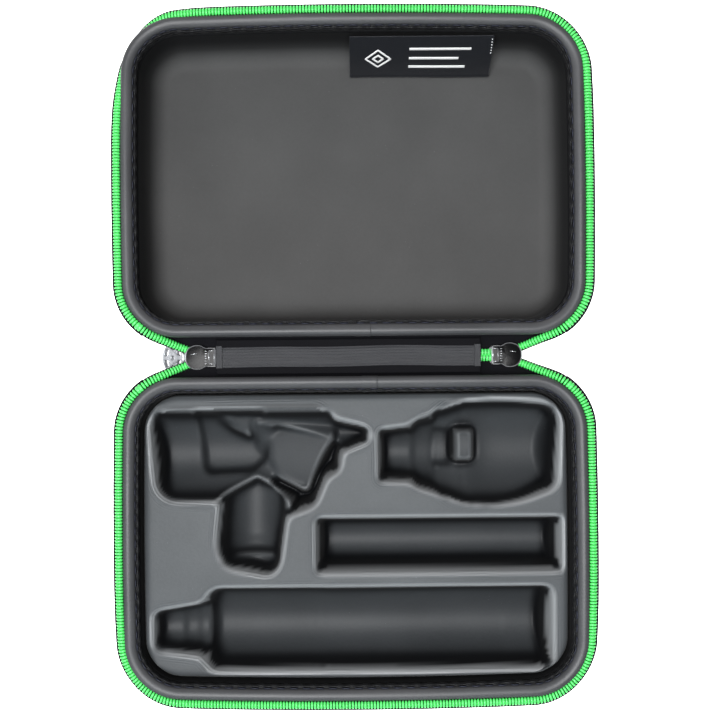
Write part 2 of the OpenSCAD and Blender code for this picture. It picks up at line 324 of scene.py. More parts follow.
class Graph:
    """Short calls that add nodes to a shader tree."""

    def __init__(self, tree: bpy.types.NodeTree) -> None:
        """Keep the tree that the nodes go into."""
        self.tree = tree

    def add(self, kind: str, inputs: dict | None = None, **settings: object) -> bpy.types.Node:
        """Add a node.

        Args:
            kind: The node's type, without the ShaderNode prefix.
            inputs: Socket name or number to a value or to an output socket.
            settings: The node's own properties.
        """
        node = self.tree.nodes.new("ShaderNode" + kind)
        for key, value in settings.items():
            setattr(node, key, value)
        for key, value in (inputs or {}).items():
            if isinstance(value, bpy.types.NodeSocket):
                self.tree.links.new(value, node.inputs[key])
            else:
                node.inputs[key].default_value = value
        return node

    def math(self, operation: str, a: object, b: object = 0.0) -> bpy.types.NodeSocket:
        """Return the output of a Math node."""
        return self.add("Math", {0: a, 1: b}, operation=operation).outputs[0]

    def mix(self, factor: object, a: object, b: object) -> bpy.types.NodeSocket:
        """Return a colour mixed from a to b by factor."""
        node = self.add("Mix", {"Factor": factor}, data_type="RGBA")
        for socket, value in ((node.inputs[6], a), (node.inputs[7], b)):
            if isinstance(value, bpy.types.NodeSocket):
                self.tree.links.new(value, socket)
            else:
                socket.default_value = value
        return node.outputs[2]

    def ramp(self, value: object, low: float, high: float) -> bpy.types.NodeSocket:
        """Return value taken from low..high to 0..1, held at its ends."""
        return self.add("MapRange", {"Value": value, "From Min": low, "From Max": high}).outputs[0]


def group(name: str, inputs: Sequence[tuple[str, str, object]], outputs: Sequence[tuple[str, str]],
          fill: Callable[[Graph, bpy.types.Node], dict]) -> bpy.types.NodeTree:
    """Build a shader node group once.

    Args:
        name: The group's name.
        inputs: Name, kind (Float, Vector or Color) and default of each input.
        outputs: Name and kind of each output.
        fill: Makes the inner nodes and returns output name to socket.
    """
    tree = bpy.data.node_groups.new(name, "ShaderNodeTree")
    for title, kind, default in inputs:
        socket = tree.interface.new_socket(title, in_out="INPUT", socket_type="NodeSocket" + kind)
        if default is not None:
            socket.default_value = default
    for title, kind in outputs:
        tree.interface.new_socket(title, in_out="OUTPUT", socket_type="NodeSocket" + kind)
    graph = Graph(tree)
    entry = tree.nodes.new("NodeGroupInput")
    leave = tree.nodes.new("NodeGroupOutput")
    for title, socket in fill(graph, entry).items():
        tree.links.new(socket, leave.inputs[title])
    return tree


def grain_fill(g: Graph, entry: bpy.types.Node) -> dict:
    """Fine knit grain: small noise over a finer one, and a slow drift of tone."""
    where = entry.outputs["Vector"]
    fine = g.add("TexNoise", {"Vector": where, "Scale": entry.outputs["Scale"], "Detail": 2.0})
    slow = g.add("TexNoise", {"Vector": where, "Scale": 28.0, "Detail": 3.0})
    tone = g.ramp(slow.outputs["Fac"], 0.3, 0.7)
    speck = g.ramp(fine.outputs["Fac"], 0.25, 0.75)
    shade = g.math("ADD", g.math("MULTIPLY", tone, 0.75), g.math("MULTIPLY", speck, 0.25))
    return {"Height": fine.outputs["Fac"], "Tone": shade}


def weave_fill(g: Graph, entry: bpy.types.Node) -> dict:
    """Plain weave: the product of two sines gives crossings that rise and fall in turn."""
    spread = g.add("VectorMath", {0: entry.outputs["Vector"], 1: entry.outputs["Threads"]},
                   operation="MULTIPLY")
    parts = g.add("SeparateXYZ", {0: spread.outputs[0]})
    x = g.math("SINE", parts.outputs[0])
    y = g.math("SINE", parts.outputs[1])
    cross = g.math("MULTIPLY", x, y)
    fuzz = g.add("TexNoise", {"Vector": entry.outputs["Vector"], "Scale": 1400.0, "Detail": 1.0})
    height = g.math("ADD", g.math("MULTIPLY", cross, 0.5), fuzz.outputs["Fac"])
    return {"Height": height, "Tone": g.ramp(cross, -1.0, 1.0)}


def dust_fill(g: Graph, entry: bpy.types.Node) -> dict:
    """Sparse pale specks of lint: the dark middles of small cells, thinned by a noise."""
    cells = g.add("TexVoronoi", {"Vector": entry.outputs["Vector"], "Scale": 420.0})
    thin = g.add("TexNoise", {"Vector": entry.outputs["Vector"], "Scale": 60.0, "Detail": 2.0})
    dot = g.ramp(cells.outputs["Distance"], 0.09, 0.03)
    keep = g.ramp(thin.outputs["Fac"], 0.56, 0.66)
    return {"Mask": g.math("MULTIPLY", g.math("MULTIPLY", dot, keep), entry.outputs["Amount"])}


GRAIN = group("Knit grain", [("Vector", "Vector", None), ("Scale", "Float", 900.0)],
              [("Height", "Float"), ("Tone", "Float")], grain_fill)
WEAVE = group("Plain weave",
              [("Vector", "Vector", None), ("Threads", "Vector", (9000.0, 9000.0, 0.0))],
              [("Height", "Float"), ("Tone", "Float")], weave_fill)
DUST = group("Lint", [("Vector", "Vector", None), ("Amount", "Float", 0.3)],
             [("Mask", "Float")], dust_fill)


class Pattern(Enum):
    """The surface structure of a cloth finish."""

    KNIT = "knit"
    WOVEN = "woven"


def rgb(red: float, green: float, blue: float) -> tuple[float, float, float, float]:
    """Return a linear colour with full alpha."""
    return (red, green, blue, 1.0)


@dataclass(frozen=True)
class Cloth:
    """A knitted or woven finish, with a slow drift of tone and a little lint.

    Where the mesh's drawn value is 1 the colour goes to near black: painted shade.

    Attributes:
        name: The material's name.
        dark: Linear colour of its low parts.
        light: Linear colour of its high parts.
        pattern: Knit reads object positions, woven reads the piece's own uv.
        threads: Radians of weave per metre, across and along.
        relief: Height of the structure in millimetres.
        rough: Roughness.
        sheen: Weight of the soft edge sheen.
        lint: Amount of lint.
        shine: Strength of its reflections.
    """

    name: str
    dark: tuple[float, float, float, float]
    light: tuple[float, float, float, float]
    pattern: Pattern = Pattern.KNIT
    threads: tuple[float, float, float] = (9000.0, 9000.0, 0.0)
    relief: float = 0.05
    rough: float = 0.5
    sheen: float = 0.05
    lint: float = 0.2
    shine: float = 0.4

    def material(self) -> bpy.types.Material:
        """Build the material."""
        mat = bpy.data.materials.new(self.name)
        mat.use_nodes = True
        mat.node_tree.nodes.clear()
        g = Graph(mat.node_tree)
        place = g.add("TexCoord")
        where = place.outputs["UV" if self.pattern is Pattern.WOVEN else "Object"]
        made = g.add("Group", node_tree=WEAVE if self.pattern is Pattern.WOVEN else GRAIN)
        mat.node_tree.links.new(where, made.inputs["Vector"])
        if self.pattern is Pattern.WOVEN:
            made.inputs["Threads"].default_value = self.threads
        lint = g.add("Group", {"Vector": place.outputs["Object"]}, node_tree=DUST)
        lint.inputs["Amount"].default_value = self.lint
        colour = g.mix(made.outputs["Tone"], self.dark, self.light)
        # Painted shade: the colour is mixed towards near black by the drawn mark.
        drawn = g.add("Attribute", attribute_name="drawn").outputs["Fac"]
        colour = g.mix(drawn, colour, rgb(0.004, 0.0045, 0.006))
        colour, height, rough = self.detail(g, colour, made.outputs["Height"], made.outputs["Tone"])
        colour = g.mix(lint.outputs["Mask"], colour, rgb(0.4, 0.4, 0.42))
        bump = g.add("Bump", {"Height": height, "Distance": self.relief * MM, "Strength": 0.8})
        shader = g.add("BsdfPrincipled", {"Base Color": colour, "Roughness": rough,
                                          "Normal": bump.outputs[0], "Sheen Weight": self.sheen,
                                          "Sheen Roughness": 0.4,
                                          "Specular IOR Level": self.shine})
        leave = g.add("OutputMaterial")
        mat.node_tree.links.new(shader.outputs[0], leave.inputs[0])
        return mat

    def detail(self, g: Graph, colour: object, height: object, tone: object) -> tuple:
        """Return colour, height and roughness; finishes with more structure extend this."""
        rough = g.add("MapRange", {"Value": tone, "To Min": self.rough - 0.05,
                                   "To Max": self.rough + 0.05}).outputs[0]
        return colour, height, rough


@dataclass(frozen=True)
class DrawnCloth(Cloth):
    """The insert's cloth: pulled tight over each pocket's edge, where it is smoother and carries a
    pale painted highlight.

    It reads two more values of the mesh: edge, 1 on a pocket's edge, and away, the distance
    from it in centimetres. Wrinkles run along the edge: the sine of that distance, broken by
    noise.
    """

    def detail(self, g: Graph, colour: object, height: object, tone: object) -> tuple:
        """Add the painted highlight on the edge and the wrinkles beside it."""
        edge = g.add("Attribute", attribute_name="edge").outputs["Fac"]
        away = g.add("Attribute", attribute_name="away").outputs["Fac"]
        place = g.add("TexCoord").outputs["Object"]
        breaks = g.add("TexNoise", {"Vector": place, "Scale": 55.0, "Detail": 2.0})
        drift = g.math("MULTIPLY", breaks.outputs["Fac"], 5.0)
        wave = g.math("SINE", g.math("ADD", g.math("MULTIPLY", away, 62.0), drift))
        near = g.math("MULTIPLY", g.ramp(away, 0.55, 0.06), g.ramp(away, 0.0, 0.06))
        near = g.math("MULTIPLY", near, g.ramp(breaks.outputs["Fac"], 0.42, 0.6))
        height = g.math("ADD", height, g.math("MULTIPLY", g.math("MULTIPLY", wave, near), 1.6))
        # Painted highlight: the rims' crests are mixed towards pale grey.
        colour = g.mix(g.math("MULTIPLY", edge, 0.8), colour, rgb(0.30, 0.31, 0.318))
        rough = g.math("SUBTRACT", self.rough, g.math("MULTIPLY", edge, 0.12))
        return colour, height, rough


@dataclass(frozen=True)
class Solid:
    """A moulded, painted or metal finish with fine grain and a second tone on its edges.

    Attributes:
        name: The material's name.
        base: Linear colour.
        edge: Linear colour where the mesh's edge value is 1.
        rough: Roughness.
        metal: Metallic share.
        edge_metal: Metallic share on the edges.
        coat: Weight of the clear coat.
        grain: Height of the surface grain in millimetres.
        scale: Grain size, in cells per metre.
        spread: Share by which the grain darkens the colour.
        shine: Strength of its reflections.
        glow: Strength of its own light.
    """

    name: str
    base: tuple[float, float, float, float]
    edge: tuple[float, float, float, float]
    rough: float = 0.35
    metal: float = 0.0
    edge_metal: float = 0.0
    coat: float = 0.0
    grain: float = 0.02
    scale: float = 700.0
    spread: float = 0.15
    shine: float = 0.5
    glow: float = 0.0

    def material(self) -> bpy.types.Material:
        """Build the material."""
        mat = bpy.data.materials.new(self.name)
        mat.use_nodes = True
        mat.node_tree.nodes.clear()
        g = Graph(mat.node_tree)
        place = g.add("TexCoord").outputs["Object"]
        made = g.add("Group", {"Vector": place, "Scale": self.scale}, node_tree=GRAIN)
        edge = g.add("Attribute", attribute_name="edge").outputs["Fac"]
        dark = rgb(*(c * (1 - self.spread) for c in self.base[:3]))
        colour = g.mix(edge, g.mix(made.outputs["Tone"], dark, self.base), self.edge)
        metal = g.add("MapRange", {"Value": edge, "To Min": self.metal,
                                   "To Max": max(self.edge_metal, self.metal)}).outputs[0]
        rough = g.add("MapRange", {"Value": made.outputs["Tone"], "To Min": self.rough * 0.8,
                                   "To Max": self.rough * 1.2}).outputs[0]
        bump = g.add("Bump", {"Height": made.outputs["Height"], "Distance": self.grain * MM})
        shader = g.add("BsdfPrincipled", {"Base Color": colour, "Roughness": rough,
                                          "Metallic": metal, "Normal": bump.outputs[0],
                                          "Coat Weight": self.coat, "Coat Roughness": 0.08,
                                          "Specular IOR Level": self.shine,
                                          "Emission Color": rgb(1, 1, 1),
                                          "Emission Strength": self.glow})
        leave = g.add("OutputMaterial")
        mat.node_tree.links.new(shader.outputs[0], leave.inputs[0])
        return mat


RIB = (2 * math.pi / 0.0006, 2 * math.pi / 0.0009, 0.0)
SATIN = (2 * math.pi / 0.0004, 2 * math.pi / 0.0003, 0.0)
TWILL = (2 * math.pi / 0.0008, 2 * math.pi / 0.0008, 0.0)


class Finishes:
    """The case's materials, one for each kind of surface."""

    def __init__(self) -> None:
        """Build every material."""
        self.binding = Cloth("binding", rgb(0.062, 0.064, 0.068), rgb(0.086, 0.088, 0.093),
                             rough=0.46, relief=0.04).material()
        self.lining = Cloth("lining", rgb(0.074, 0.0745, 0.075), rgb(0.092, 0.0925, 0.093),
                            rough=0.7, relief=0.04, shine=0.2).material()
        self.insert = DrawnCloth("insert cover", rgb(0.072, 0.078, 0.083),
                                 rgb(0.094, 0.101, 0.107), rough=0.5, shine=0.25,
                                 relief=0.05).material()
        self.outer = Cloth("outer fabric", rgb(0.014, 0.014, 0.016), rgb(0.032, 0.032, 0.036),
                           pattern=Pattern.WOVEN, threads=TWILL, relief=0.08,
                           rough=0.6).material()
        self.tape = Cloth("zip tape", rgb(0.006, 0.006, 0.008), rgb(0.02, 0.02, 0.024),
                          pattern=Pattern.WOVEN, threads=RIB, relief=0.08, rough=0.8,
                          sheen=0.0, shine=0.1).material()
        self.hinge = Cloth("hinge fabric", rgb(0.030, 0.031, 0.035), rgb(0.060, 0.062, 0.068),
                           pattern=Pattern.WOVEN, threads=RIB, relief=0.12, rough=0.45).material()
        self.gusset = Cloth("gusset fabric", rgb(0.005, 0.005, 0.007), rgb(0.013, 0.013, 0.016),
                            pattern=Pattern.WOVEN, threads=RIB, relief=0.1, rough=0.7, sheen=0.0,
                            shine=0.15).material()
        self.label = Cloth("woven label", rgb(0.006, 0.007, 0.010), rgb(0.018, 0.020, 0.026),
                           pattern=Pattern.WOVEN, threads=SATIN, relief=0.05, rough=0.45,
                           sheen=0.3).material()
        self.mark = Cloth("woven mark", rgb(0.50, 0.50, 0.50), rgb(0.80, 0.80, 0.80),
                          pattern=Pattern.WOVEN, threads=SATIN, relief=0.05).material()
        self.thread = Cloth("thread", rgb(0.018, 0.021, 0.036), rgb(0.04, 0.044, 0.065),
                            rough=0.5, relief=0.03).material()
        self.foam = Solid("foam", rgb(0.03, 0.03, 0.033), rgb(0.05, 0.05, 0.05), rough=0.8,
                          grain=0.1, scale=500.0, spread=0.4).material()
        self.coil = Solid("zip coil", rgb(0.13, 0.66, 0.19), rgb(0.30, 0.92, 0.38),
                          rough=0.36, grain=0.01, spread=0.12).material()
        self.enamel = Solid("slider enamel", rgb(0.006, 0.006, 0.007), rgb(0.50, 0.51, 0.53),
                            rough=0.24, edge_metal=0.6, shine=0.16, grain=0.004).material()
        self.pull = Solid("pull", rgb(0.36, 0.37, 0.39), rgb(0.62, 0.63, 0.65), rough=0.4,
                          metal=0.35, edge_metal=1.0, grain=0.008).material()


# ---------------------------------------------------------------- rims


class Half(Enum):
    """The two halves of the case; the value is the side of the hinge that each lies on."""

    BASE = -1
    LID = 1

    @property
    def word(self) -> str:
        """The name of the half's body and the first word of its nodes."""
        return self.name.lower()


@dataclass
class Rim:
    """The outline that both halves share, seen from above, with y = 0 on the hinge side.

    The outline is a rounded rectangle whose front bows out by front_bow times 1 - u squared
    and whose short sides bow by side_bow times 1 - v squared, with u and v the position
    across and along from -1 to 1.

    Attributes:
        width: Width across the short sides, without their bow.
        length: From the hinge side to the front, without its bow.
        corner: Radius of the corners.
        front_bow: How far the front bows out.
        side_bow: How far each short side bows out.
        count: How many points even() gives when it is asked for none.
    """

    width: float = 188.0
    length: float = 130.0
    corner: float = 22.0
    front_bow: float = 2.0
    side_bow: float = 1.0
    count: int = 720

    def __post_init__(self) -> None:
        """Work out evenly spaced points, from the middle of the hinge side and on to +X."""
        half, r, n = self.width / 2, self.corner, 60
        corners = [(half - r, r, -90), (half - r, self.length - r, 0),
                   (r - half, self.length - r, 90), (r - half, r, 180)]
        turns = [np.stack([x + r * np.cos(a), y + r * np.sin(a)], axis=-1) for x, y, start in corners
                 for a in [np.radians(start + np.linspace(0, 90, n))]]
        loop = [[[0.0, 0.0]]]
        for k, turn in enumerate(turns):
            loop.append(turn)
            after = turns[k + 1][0] if k < 3 else np.array([0.0, 0.0])
            loop.append(turn[-1] + (after - turn[-1]) * np.linspace(0, 1, 40)[1:-1, None])
        p = np.concatenate(loop + [[[0.0, 0.0]]])
        v = (p[:, 1] - self.length / 2) / (self.length / 2)
        u = p[:, 0] / half
        p = p + np.stack([self.side_bow * np.sign(u) * np.minimum(1, np.abs(u)) * (1 - v * v),
                          self.front_bow * np.maximum(0, v) * (1 - u * u)], axis=-1)
        step = np.linalg.norm(np.diff(p, axis=0), axis=1)
        self.s = np.concatenate([[0], np.cumsum(step)])
        self.loop = p
        self.around = float(self.s[-1])

    def at(self, s: Array, inset: Array | float = 0.0) -> Array:
        """Return points on the outline, moved in along its normal.

        Args:
            s: Distances along the outline in millimetres.
            inset: How far in, one or one for each point; negative moves out.
        """
        s = np.mod(s, self.around)
        p = np.stack([np.interp(s, self.s, self.loop[:, k]) for k in (0, 1)], axis=-1)
        return p - self.normal(s) * np.broadcast_to(inset, s.shape)[..., None]

    def normal(self, s: Array) -> Array:
        """Return the unit normals that point out of the outline, from points 1 mm either side."""
        a, b = (np.stack([np.interp(np.mod(s + d, self.around), self.s, self.loop[:, k])
                          for k in (0, 1)], axis=-1) for d in (-1, 1))
        t = (b - a) / np.linalg.norm(b - a, axis=-1, keepdims=True)
        return np.stack([t[..., 1], -t[..., 0]], axis=-1)

    def even(self, count: int | None = None) -> Array:
        """Return evenly spaced distances round the outline."""
        return np.linspace(0, self.around, count or self.count, endpoint=False)


# ---------------------------------------------------------------- halves


@dataclass
class Shell:
    """One half of the case: skin, foam, lining, binding, stitches and its side of the zip.

    Attributes:
        half: Which half this is.
        rim: The outline that its parts follow.
        finishes: The materials.
        gap: From the hinge's middle line to the binding.
        height: Height of the half.
        draft: How far the walls lean in over that height.
        edge: Radius between walls and outside face.
        wall_top: Height at which the wall meets the binding.
        joint: Where the binding's ends overlap, along the hinge.
        tucks: How far the zip slips under the binding at the +X and -X front corners.
        stitch: Length of one stitch, and of one wave of the binding's lip.
        zip_z: Height of the teeth's middle on the rim.
        chain_z: Height of the closed chain's middle, where the legs end.
        tooth_pitch: From one tooth to the next.
        leg_angle: How far round each back corner the zip stays on the rim, in degrees.
        slider_ends: From the hinge's middle to the left and right slider's inner end.
    """

    half: Half
    rim: Rim
    finishes: Finishes
    gap: float = GAP
    height: float = 34.0
    draft: float = 2.5
    edge: float = 12.0
    wall_top: float = 28.1
    joint: float = 0.8
    tucks: tuple[float, float] = (0.6, 0.6)
    stitch: float = 5.3
    zip_z: float = 32.45
    chain_z: float = CHAIN_Z
    tooth_pitch: float = TOOTH_PITCH
    leg_angle: float = 50.0
    slider_ends: tuple[float, float] = SLIDER_ENDS

    def world(self, points: Array) -> Array:
        """Return points of the half's own frame in the case's frame."""
        out = np.array(points, float)
        out[..., 1] = self.half.value * (self.gap + out[..., 1])
        return out

    def along_rim(self, s: Array, inset: Array, z: Array) -> Array:
        """Carry a profile (inset, z) round the rim at distances s.

        Args:
            s: Distances along the outline, shaped (n,).
            inset: How far inside the outline, shaped (m,) or (n, m).
            z: Heights, shaped like inset.
        """
        d, h = np.broadcast_arrays(np.atleast_2d(inset), np.atleast_2d(z))
        shape = (len(s), d.shape[1])
        d, h = np.broadcast_to(d, shape), np.broadcast_to(h, shape)
        flat = self.rim.at(np.broadcast_to(s[:, None], shape), d)
        return self.world(np.concatenate([flat, h[..., None]], axis=-1))

    def tub(self, side: float, top: float, panel: float = 0.0) -> Array:
        """Return one face of the wall: floor, quarter circle of radius edge - side, wall.

        The floor's rings shrink from the quarter circle's foot to the middle. The height
        there rises by panel inside four fifths of the way out, and swells by 0.3 mm.

        Args:
            side: Distance of this face inside the outer one.
            top: Height where the wall ends.
            panel: Depth of the recessed field in the floor.
        """
        s = self.rim.even(480)
        r = self.edge - side
        a = np.radians(np.linspace(0, 90, 13))
        z = np.concatenate([side + r * (1 - np.cos(a)), np.linspace(self.edge, top, 10)[1:]])
        bend = np.concatenate([r * (1 - np.sin(a)), np.zeros(9)])
        wall = self.along_rim(s, 0.8 + side + self.draft * (1 - z / self.height) + bend, z)
        t = np.concatenate([np.linspace(0.02, 0.76, 12), np.linspace(0.8, 0.86, 7),
                            np.linspace(0.89, 0.98, 4)])[:, None]
        middle = self.world([0.0, self.rim.length / 2, 0.0])
        floor = middle + (wall[:, :1] - middle) * t
        swell = panel * ease((0.86 - t[:, 0]) / 0.05) + (0.3 if side else 0) * (1 - t[:, 0] ** 2)
        floor[..., 2] = side + swell
        return np.concatenate([floor, wall], axis=1)

    def leaf(self, name: str, sides: tuple[float, float], panel: float,
             finish: bpy.types.Material, slot: str) -> None:
        """Make the skin or the lining: two faces joined round the rim.

        Args:
            name: The node that it stands for, without the half's name.
            sides: Distances of its outer and inner face inside the outer skin.
            panel: Depth of the recessed field in its floor.
            finish: Its material.
            slot: The record's slot; not used.
        """
        faces = [self.tub(sides[0], self.wall_top, panel), self.tub(sides[1], self.wall_top, panel)]
        rows = np.concatenate([faces[0], faces[1][:, ::-1]], axis=1)
        patch = Patch(rows, ring_i=True, ring_j=False, cap_j=True)
        # Painted shadow: the lining's colour darkens up its wall towards the lip; the outer skin gets
        # none.
        patch.marks = {"drawn": 0.9 * ease((rows[..., 2] - 4.6) / 17) * (sides[0] > 0)}
        node = f"{self.half.word}_{name}"
        ship(add_mesh(node + "_fabric", [patch], finish), self.half.word, slot, node)

    def binding(self) -> None:
        """Make the turned binding: roll, stitched groove, lip, with its ends overlapped.

        The profile is a smooth curve through fifteen points. Its lip rises and falls with the
        stitches, by the cosine of the distance along the rim, and its last stretch swells
        over its first.
        """
        knots = [(0.35, 28.0), (0.05, 29.4), (0.0, 31.2), (0.4, 32.8), (1.2, 33.6), (2.3, 33.85),
                 (3.6, 33.5), (4.6, 32.8), (5.1, 31.9), (5.45, 31.5), (5.8, 31.8), (6.15, 31.8),
                 (6.4, 31.2), (6.25, 30.0), (5.8, 28.0)]
        profile = spline(knots, 40)
        s = np.linspace(self.joint, self.joint + self.rim.around + 6, 1500)
        d, z = np.broadcast_to(profile[:, 0], (1500, 40)), np.broadcast_to(profile[:, 1], (1500, 40))
        wave = np.cos(2 * math.pi * s / self.stitch)[:, None] * ease((profile[:, 0] - 4.7) / 0.9)
        slow = np.sin(s / 9.7) * np.sin(s / 23.0 + 1) + 0.5 * np.sin(s / 4.1 + 2) * np.sin(s / 31)
        over = 0.042 * ease((s - self.joint - self.rim.around + 0.6) / 0.8)[:, None]
        d = 3 + (d - 3) * (1 + over) + 0.16 * wave
        z = 30.5 + (z - 30.5) * (1 + over) + 0.13 * wave + 0.07 * slow[:, None] * (z > 31)
        patch = Patch(self.along_rim(s, d, z), cap_i=True)
        # Painted shade: the groove and the lip's inner side darken towards near black.
        patch.marks = {"drawn": np.broadcast_to(0.9 * ease((profile[:, 0] - 4.6) / 0.7), d.shape)}
        node = f"{self.half.word}_binding"
        ship(add_mesh(node + "_cloth", [patch], self.finishes.binding), self.half.word,
             "binding", node)

    def frames(self, s: Array, inset: float, z: float) -> tuple[Array, Array]:
        """Return places on the rim and their axes: outwards, along, up."""
        normal = self.rim.normal(s)
        zero, one = np.zeros(len(s)), np.ones(len(s))
        flip = self.half.value
        out = np.stack([normal[:, 0], flip * normal[:, 1], zero], axis=-1)
        run = np.stack([-normal[:, 1], flip * normal[:, 0], zero], axis=-1)
        up = np.stack([zero, zero, one], axis=-1)
        flat = self.rim.at(s, inset)
        places = self.world(np.concatenate([flat, np.full((len(s), 1), z)], axis=1))
        return places, np.stack([out, run, up], axis=1)

    def stitching(self) -> None:
        """Make the stitches: short bowed threads in the groove, one for each wave of the lip."""
        t = np.linspace(-1, 1, 7)
        path = np.stack([np.zeros(7), 1.75 * t, 0.42 - 0.75 * t ** 4], axis=-1)
        thread = sweep(path, oval(0.5, 0.45, 6))
        count = round(self.rim.around / self.stitch)
        s = (np.arange(count) + 0.5) * self.stitch
        node = f"{self.half.word}_stitching"
        patches = copies(thread, *self.frames(s, 5.2, 31.75))
        ship(add_mesh(node + "_threads", patches, self.finishes.thread), self.half.word,
             "thread", node)

    def zip_span(self) -> tuple[float, float]:
        """Return the two distances along the rim between which the zip lies on it."""
        straight = self.rim.width / 2 - self.rim.corner
        start = straight + self.rim.corner * math.radians(90 - self.leg_angle)
        return start, self.rim.around - start

    def tooth(self) -> Patch:
        """Return a zip tooth: a loop of filament, fat at its tip, x outwards from the binding."""
        loop = [(-0.25, 0, -0.35), (0.2, 0, 0.75), (1.2, 0, 1.05), (2.25, 0, 0.85),
                (2.85, 0, 0.1), (2.25, 0, -0.75), (1.0, 0, -1.0), (0.0, 0, -0.95)]
        size = np.array([0.7, 0.95, 1.0, 0.95, 0.5, 0.95, 0.9, 0.8])
        return sweep(np.array(loop), oval(0.8, 1.2, 6), up=np.array([0.0, 1.0, 0.0]), scale=size)

    def tuck(self, s: Array) -> Array:
        """Return how far the zip slips under the binding at the two front corners.

        It is the sum of two bells exp(-(distance / 18 mm)^2) centred on the corners.
        """
        first = self.rim.width / 2 + self.rim.length - 0.9 * self.rim.corner
        bells = [np.exp(-((s - c) / 18.0) ** 2) for c in (first, self.rim.around - first)]
        return self.tucks[0] * bells[0] + self.tucks[1] * bells[1]

    def zip_rows(self) -> None:
        """Make the tape and the teeth that run round the rim."""
        start, end = self.zip_span()
        s = np.linspace(start - 2, end + 2, 500)
        strip = spline([(-3.85, 31.2), (-1.2, 31.2), (0.6, 31.0), (1.4, 30.6), (0.6, 30.4),
                        (-1.2, 30.35), (-3.85, 30.7)], 18)
        word = self.half.word
        tuck = self.tuck(s)[:, None]
        rows = self.along_rim(s, strip[:, 0] + tuck, strip[:, 1] - 0.75 * tuck)
        tape = add_mesh(f"{word}_zip_tape_woven", [Patch(rows, cap_i=True)], self.finishes.tape)
        ship(tape, word, "zip_tape", f"{word}_zip_tape")
        s = np.arange(start, end, self.tooth_pitch)
        places, axes = self.frames(s, self.tuck(s), self.zip_z)
        places[:, 2] -= 0.75 * self.tuck(s)
        teeth = copies(self.tooth(), places, axes)
        ship(add_mesh(f"{word}_zip_teeth", teeth, self.finishes.coil), word, "zip_coil",
             f"{word}_zip_coil")

    def leg(self, side: int) -> None:
        """Make a zip leg from the back corner down to a slider: teeth and tape.

        Its line leaves the rim along the rim's own direction and runs to the slider's nose.
        The teeth point across it, towards the hinge's middle.

        Args:
            side: 1 for the +X leg, -1 for the -X leg.
        """
        start = self.zip_span()[0]
        near = self.rim.at(np.array([start + self.tooth_pitch, start]))
        slider_end = self.slider_ends[side > 0]
        nose = slider_end + 13.4
        line = [(*near[0], self.zip_z), (*near[1], self.zip_z), (82.6, 2.5, 31.6),
                (nose + 5.7, -0.5, 28.9), (nose, -3.05, self.chain_z),
                (nose - 4, -4.5, self.chain_z)]
        dense = spline(line, 200)
        run = np.concatenate([[0], np.cumsum(np.linalg.norm(np.diff(dense, axis=0), axis=1))])
        at = np.arange(0.2, run[-1], self.tooth_pitch)
        path = np.stack([np.interp(at, run, dense[:, k]) for k in range(3)], axis=-1)
        tangent = np.gradient(path, axis=0)
        tangent /= np.linalg.norm(tangent, axis=1, keepdims=True)
        across = np.cross(tangent, [0.0, 0.0, 1.0])
        across *= -np.sign(across[:, 1:2]) / np.linalg.norm(across, axis=1, keepdims=True)
        up = np.cross(tangent, across)
        up *= np.sign(up[:, 2:3])
        turn = np.array([side, self.half.value, 1.0])
        axes = np.stack([across, tangent, up], axis=1) * turn
        web = path + 3.2 * across - 1.35 * up
        inner = slider_end + np.linspace(7.0, (-1.5, -8.0)[side > 0], 14)[:, None]
        under = ease((slider_end + 0.3 - inner) / 1.5)
        rest = np.concatenate([inner, -4.3 - 2.6 * under, 24.9 - 1.5 * under], axis=1)
        web = np.concatenate([web[web[:, 0] > inner[0] + 0.5], rest])[:, None]
        foot = self.rim.corner - np.sqrt(self.rim.corner ** 2 - np.clip(
            web[..., :1] - self.rim.width / 2 + self.rim.corner, 0, 21.5) ** 2)
        edge = np.concatenate([web[..., :1], foot + 1.6, np.full(foot.shape, 28.2)], axis=2)
        t = np.linspace(0, 1, 9)[None, :, None]
        ribbon = slab(web + (edge - web) * t - [0, 0, 0.8] * np.sin(math.pi * t), 0.5)
        places, ribbon.points = (self.world(p) * [side, 1, 1] for p in (path, ribbon.points))
        word, end = self.half.word, ("left", "right")[side > 0]
        parts = [("teeth", copies(self.tooth(), places, axes), self.finishes.coil, "zip_coil"),
                 ("tape", [ribbon], self.finishes.tape, "zip_tape")]
        for kind, patches, finish, slot in parts:
            obj = add_mesh(f"{word}_leg_{end}_{kind}", patches, finish)
            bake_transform(obj)
            if kind == "teeth":
                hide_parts(f"{word}_zip_leg_{end}")
            LOG.info("%s: %d faces, bends with the hinge", obj.name, len(obj.data.polygons))

    def flank(self, hinge: "Hinge") -> None:
        """Make the fabric between the binding's foot and the fold line."""
        x = np.linspace(-hinge.left, hinge.right, 160)
        fall = spline([(1.6, 28.0), (0.3, 27.9), (-0.6, 27.4), (-1.0, 26.7), (-1.9, 26.2)], 14)
        wave = 0.12 * np.sin(x / 5.3) * np.sin(x / 17 + 1)
        y = fall[None, :, 0] + wave[:, None]
        z = np.broadcast_to(fall[None, :, 1], y.shape)
        top = self.world(np.stack([np.broadcast_to(x[:, None], y.shape), y, z], axis=-1))
        node = f"{self.half.word}_flank"
        ship(add_mesh(node + "_fabric", [slab(top, 0.5)], self.finishes.gusset), self.half.word,
             "hinge_fabric", node)

    def build(self, hinge: "Hinge") -> None:
        """Build every piece of the half."""
        f = self.finishes
        self.leaf("outer_skin", (0.0, 1.0), 0.6, f.outer, "outer_fabric")
        self.leaf("lining", (4.2, 5.0), 0.0, f.lining, "lining")
        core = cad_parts[f"{self.half.word}_foam_core"]
        core.data.materials.clear()
        core.data.materials.append(f.foam)
        self.binding()
        self.stitching()
        self.zip_rows()
        self.leg(-1)
        self.leg(1)
        self.flank(hinge)


# ---------------------------------------------------------------- hinge and label


